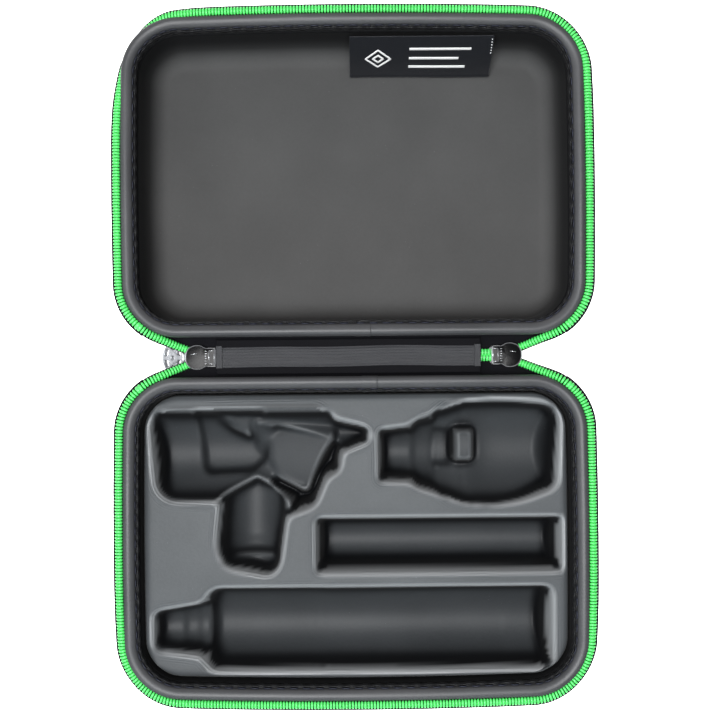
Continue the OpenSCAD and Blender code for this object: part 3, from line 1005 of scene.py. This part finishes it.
@dataclass
class Hinge:
    """The fabric hinge: a plain gusset, a ribbed band along its middle, a hem at each end.

    Attributes:
        finishes: The materials.
        left: From the middle to the gusset's left end.
        right: From the middle to its right end.
        half_width: Half its width across the hinge.
        fold_z: Height of the two fold lines.
        band: Width of the ribbed band.
        ribs: How many ribs the band has.
        chain_z: Height of the closed chain's middle.
    """

    finishes: Finishes
    left: float = 57.0
    right: float = 52.0
    half_width: float = 7.0
    fold_z: float = 26.8
    band: float = 8.4
    ribs: int = 7
    chain_z: float = CHAIN_Z

    def strip(self, x0: float, x1: float, width: float, z: float, rib: float,
              thick: float) -> Patch:
        """Return a strip along X whose ribs run lengthwise.

        Its height is z, plus rib times the cosine of the rib count across it, plus a slow
        wave along it; its middle line wanders by a third of a millimetre.

        Args:
            x0: Left end.
            x1: Right end.
            width: Width across the hinge.
            z: Height of its top.
            rib: Height of the ribs.
            thick: Thickness.
        """
        x = np.linspace(x0, x1, max(8, int((x1 - x0) * 2)))[:, None]
        v = np.linspace(-1, 1, 71)[None, :]
        wander = 0.3 * np.sin(x / 11.0) * np.sin(x / 29.0 + 1)
        slow = 0.14 * np.sin(x / 6.3 + 2 * v) * np.sin(x / 15.0) - 0.3 * v ** 6 + 0.12 * (1 - v * v)
        y = v * width / 2 + (wander if rib else np.zeros_like(x))
        h = z + rib * np.cos(2 * math.pi * self.ribs * (v + 1) / 2) + slow * (rib > 0)
        return slab(np.stack(np.broadcast_arrays(x, y, h), axis=-1), thick)

    def build(self) -> None:
        """Build the gusset, the band, the hems and the end of the chain."""
        f = self.finishes
        z = self.fold_z
        gusset = add_mesh("hinge_gusset_fabric", [self.strip(
            -self.left, self.right, 2 * self.half_width, z + 0.1, 0.0, 0.5)], f.gusset)
        ship(gusset, "hinge", "hinge_fabric", "hinge_gusset")
        band = self.strip(2 - self.left, self.right - 2, self.band, z + 0.5, 0.045, 0.3)
        ship(add_mesh("hinge_band_ribbed", [band], f.hinge), "hinge", "hinge_fabric",
             "hinge_band")
        for word, a, b in (("left", -self.left, 2.6 - self.left),
                           ("right", self.right - 2.6, self.right)):
            hem = self.strip(a, b, self.band + 0.8, z + 0.8, 0.0, 0.6)
            ship(add_mesh(f"hinge_hem_{word}_fabric", [hem], f.hinge), "hinge",
                 "hinge_fabric", f"hinge_hem_{word}")
        tooth = Shell(Half.LID, Rim(), f).tooth()
        tooth.points = tooth.points * [1, 1, 0.68]
        teeth = []
        for side in (-1, 1):
            x = np.arange(self.right + 0.3, self.right + 7, TOOTH_PITCH) + (0.6 if side > 0 else 0)
            rest = [np.full(len(x), value) for value in (side * 2.35, self.chain_z)]
            places = np.stack([x, *rest], axis=-1)
            axes = np.tile(np.array([[0, -side, 0], [1, 0, 0], [0, 0, 1]], float), (len(x), 1, 1))
            teeth += copies(tooth, places, axes)
        ship(add_mesh("chain_stub_teeth", teeth, f.coil), "hinge", "zip_coil", "chain_stub")


@dataclass
class Label:
    """The woven label on the lid's front wall: a folded satin tab and a plain raised mark.

    Attributes:
        finishes: The materials.
        middle: Where its middle lies along the hinge.
        width: Its width.
        length: From its seam to its free edge, down the slope.
        seam_y: The seam's distance from the hinge's middle line.
        seam_z: The seam's height.
        lean: Its slope below the horizontal, in degrees.
        thick: Thickness of the folded tab.
    """

    finishes: Finishes
    middle: float = 29.0
    width: float = 60.0
    length: float = 23.8
    seam_y: float = 132.2
    seam_z: float = 27.5
    lean: float = 62.0
    thick: float = 0.7

    def at(self, x: Array, run: Array, off: Array) -> Array:
        """Return a point of the label, curved and slightly twisted.

        It is the seam plus run down the slope plus off along the normal; the face bows out
        by the sine of the run, and its free edge drops towards the left.

        Args:
            x: Distance from its middle along the hinge.
            run: Distance from the seam.
            off: Height over its middle layer.
        """
        slope = math.radians(self.lean)
        t = run / self.length
        run = run * (1 - 0.02 * x / self.width * t)
        off = off + 0.9 * np.sin(math.pi * np.clip(t, 0, 1)) + 0.35 * t * np.sin(x / 13.0)
        y = self.seam_y - run * math.cos(slope) - off * math.sin(slope)
        z = self.seam_z - run * math.sin(slope) + off * math.cos(slope)
        return np.stack(np.broadcast_arrays(self.middle + x, y, z), axis=-1)

    def build(self) -> None:
        """Build the tab and its mark."""
        down = np.linspace(0, self.length - 0.5, 40)
        turn = np.radians(np.linspace(80, -80, 7))
        run = np.concatenate([down, self.length - 0.5 + 0.5 * np.cos(turn), down[::-1]])
        off = np.concatenate([np.full(40, 0.35), 0.35 * np.sin(turn), np.full(40, -0.35)])
        off += 0.15 * np.exp(-((run - self.length + 0.6) / 0.5) ** 2) * np.sign(off)
        x = np.linspace(-self.width / 2, self.width / 2, 121)[:, None]
        points = self.at(x, run[None, :], off[None, :])
        tab = add_mesh("label_cloth", [Patch(points[:, :-1], cap_i=True)], self.finishes.label)
        ship(tab, "label", "label", "label_tab")
        up = self.at(0, 10.0, 1.0) - self.at(0, 10.0, 0.0)
        mark = []
        for size in (4.6, 1.9):
            a = np.linspace(0, 2 * math.pi, 48, endpoint=False)
            reach = size / (np.abs(np.cos(a)) + np.abs(np.sin(a))) * 1.15
            ring = self.at(-18 + reach * np.cos(a), 12 + 0.9 * reach * np.sin(a), 0.42)
            mark.append(sweep(ring, oval(1.0, 0.24, 8, 4.0), up=up, closed=True))
        for row, reach in ((6.6, 26.0), (11.6, 21.0), (16.6, 24.0)):
            x = np.linspace(-5, -5 + reach, 60)
            mark.append(sweep(self.at(x, row, 0.42), oval(1.5, 0.24, 8, 4.0), up=up))
        for k in range(6):
            x = np.linspace(29.0, 29.6, 3)
            mark.append(sweep(self.at(x, 2.0 + 1.4 * k, 0.42), oval(0.7, 0.24, 6), up=up))
        ship(add_mesh("label_raised_mark", mark, self.finishes.mark), "label", "label_mark",
             "label_mark")


# ---------------------------------------------------------------- sliders


@dataclass
class Slider:
    """A zip slider with its crown, its link and a pierced round pull.

    Attributes:
        side: 1 for the right slider, -1 for the left one.
        inner: Distance from the hinge's middle to its inner end.
        drop: Angle of its pull below the horizontal, in degrees.
        finishes: The materials.
        chain_z: Height of the closed chain's middle.
        gap: Between its two plates.
        plate: Thickness of a plate.
        medal: Radius of the round pull.
        reach: From the pivot to the round pull's middle.
    """

    side: int
    inner: float
    drop: float
    finishes: Finishes
    chain_z: float = CHAIN_Z
    gap: float = 2.2
    plate: float = 0.8
    medal: float = 7.0
    reach: float = 15.4

    @property
    def word(self) -> str:
        """The slider's side in words."""
        return "right" if self.side > 0 else "left"

    def plan(self) -> Array:
        """Return the plates' outline: square inner end, shoulders, narrow nose."""
        one = [(0, -3.8, 0.8), (4.4, -3.8, 1.5), (6.0, -5.1, 1.5), (9.0, -5.1, 1.6),
               (11.5, -3.9, 1.4), (12.6, -1.6, 1.2)]
        return rounded(one + [(x, -y, r) for x, y, r in one[::-1]])

    def world(self, points: Array) -> Array:
        """Return points of the slider's frame in the case's frame."""
        return (points + [self.inner, 0, self.chain_z]) * [self.side, 1, 1]

    def plate_patch(self, low: float, dome: float) -> Patch:
        """Return a plate whose edge is chamfered and whose top is domed.

        Rings shrink from the outline towards its middle, and the height falls with the
        square of their size.

        Args:
            low: Height of its underside over the chain's middle.
            dome: Height of the dome.
        """
        outline = self.plan()
        middle = np.array([6.4, 0.0])
        high = low + self.plate
        rings = [(0.05, low, 0), (0.94, low, 0), (1.0, low + 0.15, 1), (1.0, high - 0.3, 1),
                 (0.965, high - 0.08, 1), (0.93, high, 0.2)]
        rings += [(t, high + dome * (1 - (t / 0.93) ** 2), 0) for t in np.linspace(0.88, 0.05, 14)]
        size, z, edge = np.array(rings).T
        flat = middle + (outline[:, None] - middle) * size[None, :, None]
        h = np.broadcast_to(z, flat.shape[:2])
        edge = np.broadcast_to(edge, flat.shape[:2])
        return Patch(self.world(np.concatenate([flat, h[..., None]], axis=-1)), ring_i=True,
                     ring_j=False, cap_j=True, marks={"edge": edge})

    def bar(self, path: Array, width: float, height: float, up: Sequence[float]) -> Patch:
        """Return a soft-edged bar along a path in the slider's frame."""
        made = sweep(np.array(path, float), oval(width, height, 16, 4.0), up=np.array(up, float))
        return replace(made, points=self.world(made.points))

    def pull_frame(self, points: Array) -> Array:
        """Turn points of the pull's frame down by its drop about the pivot."""
        a = math.radians(self.drop)
        x = points[..., 0] * math.cos(a) + points[..., 2] * math.sin(a) + 8
        z = -points[..., 0] * math.sin(a) + points[..., 2] * math.cos(a)
        return self.world(np.stack([x, points[..., 1], z - self.gap / 2 - self.plate - 1], axis=-1))

    def build(self) -> None:
        """Build the body, the crown, the link and the pull."""
        f = self.finishes
        lower = -self.gap / 2 - self.plate
        body = [self.plate_patch(self.gap / 2, 0.3), self.plate_patch(lower, 0.0)]
        frame_line = [(0.6, -2.7), (2.7, -2.7), (2.7, 2.7), (0.6, 2.7)]
        marks = [[a, b] for a, b in zip(frame_line, frame_line[1:] + frame_line[:1])]
        marks += [[(3.5, y), (4.5, y)] for y in np.linspace(-2.5, 2.5, 6)]
        # Painted reflection: a silver bar on the nose stands for the streak of reflected light there.
        marks += [[(7.6, 1.5), (10.2, 1.2)]]
        for (x0, y0), (x1, y1) in marks:
            high = self.gap / 2 + self.plate + (0.1 if x0 < 3 and x1 < 3 else 0.16)
            line = self.bar([(x0, y0, high), (x1, y1, high)], 0.3, 0.4, (0, 0, 1))
            body.append(replace(line, marks={"edge": np.ones(line.points.shape[:2])}))
        for y in (-3.45, 3.45):
            for z in (-0.8, 0.75):
                ends = np.linspace(0.3, 4.1, 6)
                path = np.stack([ends, 0 * ends + y, 0 * ends + z], axis=-1)
                body.append(self.bar(path, 0.7, 0.7, (0, 0, 1)))
        x = np.linspace(8.0, 12.0, 6)
        body.append(self.bar(np.stack([x, 0 * x, 0 * x], axis=-1), 2.2, self.gap, (0, 0, 1)))
        name = f"slider_{self.word}"
        ship(add_mesh(name + "_enamel", body, f.enamel), name, "slider", name + "_body")
        arch = spline([(2.6, 0, lower + 0.3), (2.7, 0, lower - 1.2), (4.2, 0, lower - 2.35),
                       (8.2, 0, lower - 2.35), (9.7, 0, lower - 1.2), (9.8, 0, lower + 0.3)], 30)
        crown = self.bar(arch, 0.85, 2.3, (0, 1, 0))
        ship(add_mesh(name + "_arch", [crown], f.enamel), name, "slider", name + "_crown")
        self.pull()

    def pull(self) -> None:
        """Make the link, a closed loop, and the pull: rim, hub and six webs between."""
        loop = rounded([(0, -2.1, 1.0), (8.4, -2.1, 1.4), (8.4, 2.1, 1.4), (0, 2.1, 1.0)], 9)
        flat = np.concatenate([loop, np.zeros((len(loop), 1))], axis=1)
        link = sweep(flat, oval(0.85, 1.15, 12, 3.0), closed=True)
        name = f"pull_{self.word}"
        link = replace(link, points=self.pull_frame(link.points))
        ship(add_mesh(name + "_loop", [link], self.finishes.pull), name, "pull", name + "_link")
        a = np.linspace(0, 2 * math.pi, 72, endpoint=False)
        rings = []
        for inner, outer in ((5.6, self.medal), (0.9, 3.2)):
            rings.append((np.array([(inner + 0.1, -0.7), (inner + 0.4, -0.9), (outer - 0.4, -0.9),
                                    (outer, -0.5), (outer, 0.5), (outer - 0.4, 0.9),
                                    (inner + 0.4, 0.9), (inner + 0.1, 0.7)]),
                          np.array([0.6, 0, 0, 1, 1, 0, 0, 0.6])))
        parts = []
        for section, edge in rings:
            x = self.reach + section[None, :, 0] * np.cos(a)[:, None]
            y = section[None, :, 0] * np.sin(a)[:, None]
            z = np.broadcast_to(section[None, :, 1], x.shape)
            marks = {"edge": np.broadcast_to(edge, x.shape)}
            parts.append(Patch(self.pull_frame(np.stack([x, y, z], axis=-1)), ring_i=True,
                               marks=marks))
        r = np.linspace(2.8, 6.1, 9)
        waist = 1.0 + 0.55 * ((r - 4.4) / 1.6) ** 2
        for turn in np.radians(60 * np.arange(6)):
            line = np.stack([self.reach + r * math.cos(turn), r * math.sin(turn), 0 * r], axis=-1)
            web = sweep(line, oval(1.9, 1.5, 12, 4.0), scale=waist)
            web.points[..., 2] = np.clip(web.points[..., 2], -0.8, 0.8)
            parts.append(replace(web, points=self.pull_frame(web.points)))
        ship(add_mesh(name + "_disc", parts, self.finishes.pull), name, "pull",
             name + "_medallion")


# ---------------------------------------------------------------- insert


@dataclass
class Pocket:
    """A pressed pocket: its outline at the insert's top and the height of its floor.

    Attributes:
        corners: Outline corners (x, y, reach of the arc), on the insert's top.
        floor: Returns the floor's height at x, y.
        soft: How far the floor runs into the walls.
    """

    corners: list[tuple[float, float, float]]
    floor: Callable[[Array, Array], Array]
    soft: float = 1.6


def blur(z: Array, reach: int) -> Array:
    """Return z averaged over a square that reaches that many grid lines each way."""
    for axis in (0, 1):
        pad = [(reach + 1, reach) if k == axis else (0, 0) for k in (0, 1)]
        total = np.cumsum(np.pad(z, pad, mode="edge"), axis=axis)
        low = np.arange(z.shape[axis])
        far = np.take(total, low + 2 * reach + 1, axis)
        z = (far - np.take(total, low, axis)) / (2 * reach + 1)
    return z


def bowl(offset: Array, radius: Array, axis: float) -> Array:
    """Return the height of a round trough: axis less the root of radius^2 - offset^2."""
    return axis - np.sqrt(np.maximum(radius ** 2 - offset ** 2, 0.01))


def step(x: Array, at: float, run: float) -> Array:
    """Return 0 before a place and 1 after it, eased over run."""
    return ease((x - at) / run + 0.5)


@dataclass
class Insert:
    """The pressed insert: a foam block and the cloth drawn over it into four pockets.

    Attributes:
        rim: The outline shared with the shells.
        finishes: The materials.
        gap: From the hinge's middle line to the binding.
        top: Height of its upper face.
        inset: How far inside the rim's outline it ends.
        cell: Distance between the cloth's grid lines.
    """

    rim: Rim
    finishes: Finishes
    gap: float = GAP
    top: float = 27.0
    inset: float = 7.5
    cell: float = 0.7

    def handle_floor(self, x: Array, y: Array) -> Array:
        """A turned handle: tapered ringed neck, quarter-round shoulder, long body."""
        neck = 7.7 + 0.10 * (x + 83) + 0.9 * step(x, -72.3, 0.8) + 0.5 * step(x, -66.5, 1.2)
        shoulder = np.sqrt(np.clip(1 - ((-57.5 - x) / 5.5) ** 2, 0, 1)) * (x > -63)
        radius = np.where(x > -57.5, 16.6, np.maximum(neck, 16.6 * shoulder))
        for at, deep in ((-17.7, 0.25), (-13.2, 0.25), (62.7, 0.35)):
            radius = radius - deep * step(x, at, 0.8)
        radius = radius + 0.85 * step(x, 40, 80)
        return bowl(y + 112.6, np.minimum(radius, 16.6), 23.6)

    def tube_floor(self, x: Array, y: Array) -> Array:
        """A plain round trough."""
        return bowl(y + 78, np.full(x.shape, 10.4), 17.4)

    def head_floor(self, x: Array, y: Array) -> Array:
        """The instrument head: barrel, deeper well, bulge, crest, raised fan, cone, neck."""
        barrel = bowl(y + 41, np.full(x.shape, 18.5), 29.0) + 0.6 * step(-x, 79.5, 2)
        sunk = depth_inside(rounded([(-66.4, -22, 1), (-38, -22, 1), (-38, -44, 2),
                                     (-43.5, -48.6, 3), (-64.4, -49.6, 4.5)]), x, y)
        z = barrel - 3.2 * ease((sunk + 0.4) / 1.3)
        cone = 18.2 - 0.85 * np.abs(y + 27.5 + 0.2 * (x + 40))
        z = np.where(x > -46, smooth_max(z, cone - 9 * (1 - step(x, -43.5, 5)), 2.0), z)
        flap = depth_inside(rounded([(-66, -17, 1), (-40, -19, 2), (-42.5, -37, 5),
                                     (-55, -31.5, 6)]), x, y)
        crest = 17.0 + 0.05 * (x + 45) + 0.28 * (y + 28)
        z = z + (np.maximum(z, crest) - z) * ease((flap + 0.6) / 4.2)
        crest = 20.5 - 1.5 * np.abs((y + 22.5) + 0.52 * (x + 58)) - 0.05 * (x + 57) ** 2
        z = smooth_max(z, crest, 1.2)
        fan = depth_inside(rounded([(-41.8, -27.2, 1), (-9.2, -34.4, 1.5), (-20.4, -57, 2.5),
                                    (-41.8, -46.6, 1.5)]), x, y)
        plateau = 12.2 + 0.19 * (x + 42) - 0.008 * (y + 42) ** 2
        reach = 1.4 + 13 * step(-x, 36, 8)
        z = z + (plateau - z) * ease((fan + 0.5) / reach)
        lip = np.exp(-((fan - 0.4) / 0.55) ** 2) * step(x - 0.8 * y, 8.0, 8)
        z = z + 0.55 * lip
        nozzle = bowl(y + 32.3, 4.6 - 0.13 * (x + 8), 17.5)
        z = z + (nozzle - z) * step(x, -8.6, 2.0)
        neck = bowl(x + 42.6, np.full(x.shape, 12.9), 20.2)
        neck = neck + 4.5 * step(-y, 82.4, 1.0) + 1.5 * step(-y, 78, 7)
        saddle = -51.5 - 0.50 * np.abs(x + 41.8)
        where = step(saddle - y, 0.0, 2.2) * (x > -57) * (x < -26)
        ridge = 2.6 * np.exp(-((saddle - y) / 1.5) ** 2) * (x > -57) * (x < -28)
        z = z + (neck - z) * where + ridge
        slot = ease((-fan - 0.2) / 1.5) * step(x, -35, 3) * step(-y, 37, 4) * step(-x, 7, 3)
        return z + (6.8 - z) * slot * (1 - where)

    def second_floor(self, x: Array, y: Array) -> Array:
        """The second head: neck, collar, wide swelling body, ramp, key and its groove."""
        neck = bowl(y + 41, np.full(x.shape, 10.3), 19.5)
        collar = bowl(y + 41, 13.2 + 0.15 * (x - 24), 21.5)
        wide = 17.5 + 3.5 * ease((x - 34) / 14)
        body = 26 - 17 * np.sqrt(np.clip(1 - ((y + 40.2) / wide) ** 2, 0.001, 1))
        body = body + 2.4 * np.exp(-((x - 44.9) / 7.5) ** 2) - 0.5 * np.exp(-((x - 44.9) / 0.6) ** 2)
        z = neck + (collar - neck) * step(x, 24.4, 1.2)
        z = z + (body - z) * step(x, 33.2, 2.0)
        recess = depth_inside(rounded([(32.6, -31.2, 1), (40.6, -31.2, 1), (40.6, -46.6, 1),
                                       (32.6, -46.6, 1)]), x, y)
        z = z - 2.2 * ease((recess + 0.3) / 1.0)
        key = depth_inside(rounded([(40.8, -30.2, 2.2), (50.2, -30.2, 2.2), (50.2, -45, 2.2),
                                    (40.8, -45, 2.2)]), x, y)
        z = z - 1.8 * np.exp(-((key + 0.7) / 0.7) ** 2)
        z = z + (20.6 - 0.02 * (y + 37.6) ** 2 - z) * ease((key + 0.2) / 1.1)
        ramp = 9.5 + 1.6 * (x - 77.5)
        return np.where(x > 72, smooth_max(z, ramp, 1.5), z)

    def pockets(self) -> list[Pocket]:
        """Return the four pockets."""
        handle = [(-82.9, -105.4, 3), (-64.4, -102.4, 1.5), (-61.2, -99, 2.5), (-58.5, -96, 3.5),
                  (79.9, -96, 3), (79.9, -129.0, 3), (-58.5, -129, 3.5), (-61.2, -126, 2.5),
                  (-64.4, -122.6, 1.5), (-82.9, -120, 3)]
        tube = [(-15.9, -67.4, 1.6), (84.3, -67.4, 1.6), (84.3, -88.6, 1.6), (-15.9, -88.6, 1.6)]
        head = [(-84.2, -27, 3), (-79.5, -20.2, 5), (-44, -19.6, 5), (-14, -19.6, 4),
                (-8.4, -26.6, 2), (2.6, -29.2, 1.5), (5.0, -30.6, 1), (4.6, -35.0, 1),
                (-5.8, -39.2, 2), (-6.9, -47, 2), (-12.2, -50, 2), (-17.0, -61.4, 3),
                (-28.9, -65.6, 3), (-31.9, -86.4, 4), (-36, -89.9, 3), (-54, -86.2, 4),
                (-57.1, -79, 5), (-55.4, -60.0, 2), (-77, -58.6, 4), (-81.7, -54.4, 4)]
        second = [(10.1, -31, 1.5), (22.6, -29.5, 2), (26.0, -26.6, 2), (31.4, -25, 2),
                  (37.6, -19.8, 3), (46, -17.8, 5), (80.4, -20.8, 5), (84.0, -26, 3),
                  (82.4, -54.6, 4), (69, -59.6, 5), (48.6, -62.6, 6), (40.2, -61.2, 4),
                  (34.4, -56.6, 3), (25.8, -54, 2), (22.9, -51.6, 1.5), (10.1, -51.2, 1.5)]
        return [Pocket(handle, self.handle_floor, 1.2), Pocket(tube, self.tube_floor, 1.0),
                Pocket(head, self.head_floor), Pocket(second, self.second_floor)]

    def grid(self, cell: float, inset: float) -> tuple[Array, Array, Array]:
        """Return x, y and the distance to the border, on a grid bent to the outline.

        In each corner block, p and q from 0 to 1 become p sqrt(1 - q^2 / 2) and
        q sqrt(1 - p^2 / 2), which turns the block's outer corner into a quarter circle.

        Args:
            cell: Distance between grid lines.
            inset: How far inside the rim's outline the grid ends.
        """
        half, length = self.rim.width / 2 - inset, self.rim.length - 2 * inset
        r = self.rim.corner - inset
        x = np.linspace(-half, half, int(2 * half / cell))[:, None]
        y = np.linspace(-length / 2, length / 2, int(length / cell))[None, :]
        border = np.minimum(half - np.abs(x), length / 2 - np.abs(y))
        p = np.maximum(np.abs(x) - half + r, 0) / r
        q = np.maximum(np.abs(y) - length / 2 + r, 0) / r
        gx = np.sign(x) * (np.minimum(np.abs(x), half - r) + r * p * np.sqrt(1 - q * q / 2))
        gy = np.sign(y) * (np.minimum(np.abs(y), length / 2 - r) + r * q * np.sqrt(1 - p * p / 2))
        u, v = gx / (self.rim.width / 2), gy / (self.rim.length / 2)
        gx = gx + self.rim.side_bow * np.sign(u) * np.abs(u) * (1 - v * v)
        gy = gy + self.rim.front_bow * np.maximum(0, v) * (1 - u * u)
        return gx, -(self.gap + self.rim.length / 2 + gy), border

    def field(self, x: Array, y: Array, border: Array) -> tuple[Array, Array]:
        """Return the cloth's height and the depth inside the nearest pocket.

        The top swells a little and rolls over at its border by a quarter circle. Each wall
        falls by 8 times root(d^2 + 1.44) - 1.2, with d the depth inside the outline plus 1 mm,
        and meets the floor in a rounded corner.
        """
        z = self.top + 0.12 * np.sin(x / 13) * np.sin(y / 11 + 1)
        z = z - 2.0 * (1 - np.sqrt(1 - np.clip(1 - border / 2.2, 0, 1) ** 2))
        depth = np.full(x.shape, -99.0)
        for pocket in self.pockets():
            inside = depth_inside(rounded(pocket.corners), x, y)
            d = np.maximum(inside + 1.0, 0)
            wall = z - 8 * (np.sqrt(d * d + 1.44) - 1.2) - 0.25 * np.exp(-np.abs(inside) / 2.5)
            low = smooth_max(wall, np.maximum(pocket.floor(x, y), 6.6), pocket.soft)
            z = np.where(inside > -1.0, np.minimum(z, low), z - 0.25 * np.exp(
                -np.abs(inside) / 2.5) * (inside > -9))
            depth = np.maximum(depth, inside)
        return z, depth

    def build(self) -> None:
        """Build the cloth with its wrapped edge, and the foam under it.

        The cloth's height is averaged twice with its neighbours, which rounds the grid's
        steps on the walls. Its edge mark, for the painted highlight, is its height over the
        mean within two grid lines. Its drawn mark, painted shade, grows with its
        slope and with how far it lies under the mean within six.
        """
        x, y, border = self.grid(self.cell, self.inset)
        z, depth = self.field(x, y, border)
        z = blur(blur(z, 1), 1)
        patch = slab(np.stack([x, y, z], axis=-1), 0.7)
        # Mask for the painted highlight: the crests of the pocket rims.
        edge = ease((z - blur(z, 2) - 0.08) / 0.7) * np.where(depth < 1.5, 1.0, 0.35)
        away = np.clip(-depth / 10, 0, 1)
        slope = np.hypot(*np.gradient(z)) / self.cell
        # Painted shade: darker in hollows under the mean height and on steep walls.
        hollow_shade = np.maximum(ease((blur(z, 6) - z) / 4), ease((slope - 0.7) / 1.4))
        hollow_shade = blur(hollow_shade, 1)
        # Painted shade: darker inside each pocket, more so in hollows and on walls, less on rim
        # crests.
        drawn = (0.42 + 0.54 * hollow_shade) * ease((depth + 0.6) / 1.2) * (1 - 0.7 * edge)
        patch.marks = {key: np.concatenate([m, m[:, ::-1]], axis=1)
                       for key, m in (("edge", edge), ("away", away), ("drawn", drawn))}
        s = self.rim.even(480)
        hem = spline([(8.1, 9.0), (7.5, 9.0), (7.35, 12.0), (7.35, 22.0), (7.4, 24.6), (7.7, 25.4),
                      (8.15, 24.6), (8.2, 12.0), (8.15, 9.2)], 36)
        shell = Shell(Half.BASE, self.rim, self.finishes)
        wrap = Patch(shell.along_rim(s, hem[:, 0], hem[:, 1]), ring_i=True)
        wrap.marks = {"away": np.ones(wrap.points.shape[:2])}
        cover = add_mesh("insert_drawn_cloth", [patch, wrap], self.finishes.insert)
        ship(cover, "base", "insert_cover", "insert_cover")
        x, y, border = self.grid(1.3, self.inset + 1.0)
        z, depth = self.field(x, y, border)
        for axis in (0, 1):
            pad = np.pad(z, [(1, 1) if k == axis else (0, 0) for k in (0, 1)], mode="edge")
            z = np.minimum(z, np.minimum(np.delete(pad, (-1, -2), axis), np.delete(pad, (0, 1), axis)))
        under = np.stack([x, y, np.maximum(z - 1.1, 5.4)], axis=-1)
        base = np.stack([x, y, np.full(x.shape, 5.2)], axis=-1)
        block = Patch(np.concatenate([under, base[:, ::-1]], axis=1), pinch=True)
        foam = add_mesh("insert_foam_block", [block], self.finishes.foam)
        ship(foam, "base", "foam", "insert_foam")


# ---------------------------------------------------------------- studio


@dataclass(frozen=True)
class Softbox:
    """A rectangular soft light aimed at a point.

    Attributes:
        name: Its name.
        place: Where it stands, in metres.
        size: Its width and height in metres.
        power: Its power in watts.
        tint: Its linear colour.
        aim: The point it faces.
    """

    name: str
    place: tuple[float, float, float]
    size: tuple[float, float]
    power: float
    tint: tuple[float, float, float] = (1.0, 1.0, 1.0)
    aim: tuple[float, float, float] = (0.0, 0.0, 0.02)

    def build(self) -> None:
        """Add the light to the scene."""
        data = bpy.data.lights.new(self.name, "AREA")
        data.shape = "RECTANGLE"
        data.size, data.size_y = self.size
        data.energy = self.power
        data.color = self.tint
        obj = bpy.data.objects.new(self.name, data)
        way = np.array(self.aim) - np.array(self.place)
        obj.location = self.place
        obj.rotation_euler = Vector(way).to_track_quat("-Z", "Y").to_euler()
        bpy.context.scene.collection.objects.link(obj)


@dataclass
class Studio:
    """Camera, floor and light.

    Attributes:
        height: The camera's height in metres.
        view: Its angle of view in degrees.
        lean: How far it leans towards the lid, in degrees.
        roll: How far it is turned about its own line of sight, in degrees.
        gamma: The view's gamma.
        floor_reach: Half the floor's side, in millimetres.
        floor_z: The floor's height, just under the case, in millimetres.
        lights: The soft lights.
    """

    height: float = 0.434
    view: float = 39.7
    lean: float = 0.4
    roll: float = 0.5
    gamma: float = 0.76
    floor_reach: float = 30000.0
    floor_z: float = -0.3
    lights: tuple[Softbox, ...] = (
        Softbox("cool long box", (-0.12, -0.62, 0.36), (0.9, 0.2), 1.8, (0.84, 0.95, 1.0)),
        Softbox("warm long box", (-0.05, 0.66, 0.34), (0.9, 0.2), 1.3, (1.0, 0.92, 0.88)),
        Softbox("left box", (-0.70, 0.05, 0.40), (0.3, 0.5), 1.3),
        Softbox("top box", (-0.12, -0.12, 1.2), (0.6, 0.6), 25.0))

    def build(self) -> None:
        """Set up the camera, the floor, the lights and the pale surroundings."""
        scene = bpy.context.scene
        data = bpy.data.cameras.new("camera")
        data.sensor_width = 36.0
        data.angle = math.radians(self.view)
        data.clip_start = 0.01
        camera = bpy.data.objects.new("camera", data)
        lean = math.radians(self.lean)
        camera.location = (0.0008, -self.height * math.sin(lean), self.height)
        camera.rotation_euler = (lean, 0.0, math.radians(-self.roll))
        scene.collection.objects.link(camera)
        scene.camera = camera
        scene.view_settings.view_transform = "Standard"
        scene.view_settings.gamma = self.gamma
        world = bpy.data.worlds.new("surroundings")
        world.use_nodes = True
        world.node_tree.nodes["Background"].inputs["Color"].default_value = rgb(1, 1, 1)
        world.node_tree.nodes["Background"].inputs["Strength"].default_value = 0.16
        scene.world = world
        for light in self.lights:
            light.build()
        side = np.linspace(-self.floor_reach, self.floor_reach, 9)
        x, y = np.meshgrid(side, side, indexing="ij")
        plane = Patch(np.stack([x, y, np.full(x.shape, self.floor_z)], axis=-1), ring_j=False)
        finish = Solid("pale floor", rgb(0.92, 0.92, 0.92), rgb(1, 1, 1), rough=0.9, grain=0.0,
                       spread=0.0, glow=0.9).material()
        add_mesh("floor", [plane], finish)


def main() -> None:
    """Build the studio and every piece."""
    logging.basicConfig(level=logging.INFO, format="%(message)s")
    Studio().build()
    finishes, rim = Finishes(), Rim()
    hinge = Hinge(finishes)
    Shell(Half.LID, rim, finishes, joint=0.8, tucks=(0.4, 3.3)).build(hinge)
    Shell(Half.BASE, rim, finishes, joint=3.2).build(hinge)
    Insert(rim, finishes).build()
    hinge.build()
    Label(finishes).build()
    Slider(-1, SLIDER_ENDS[0], 40.0, finishes).build()
    Slider(1, SLIDER_ENDS[1], 90.0, finishes).build()


if __name__ == "__main__":
    main()
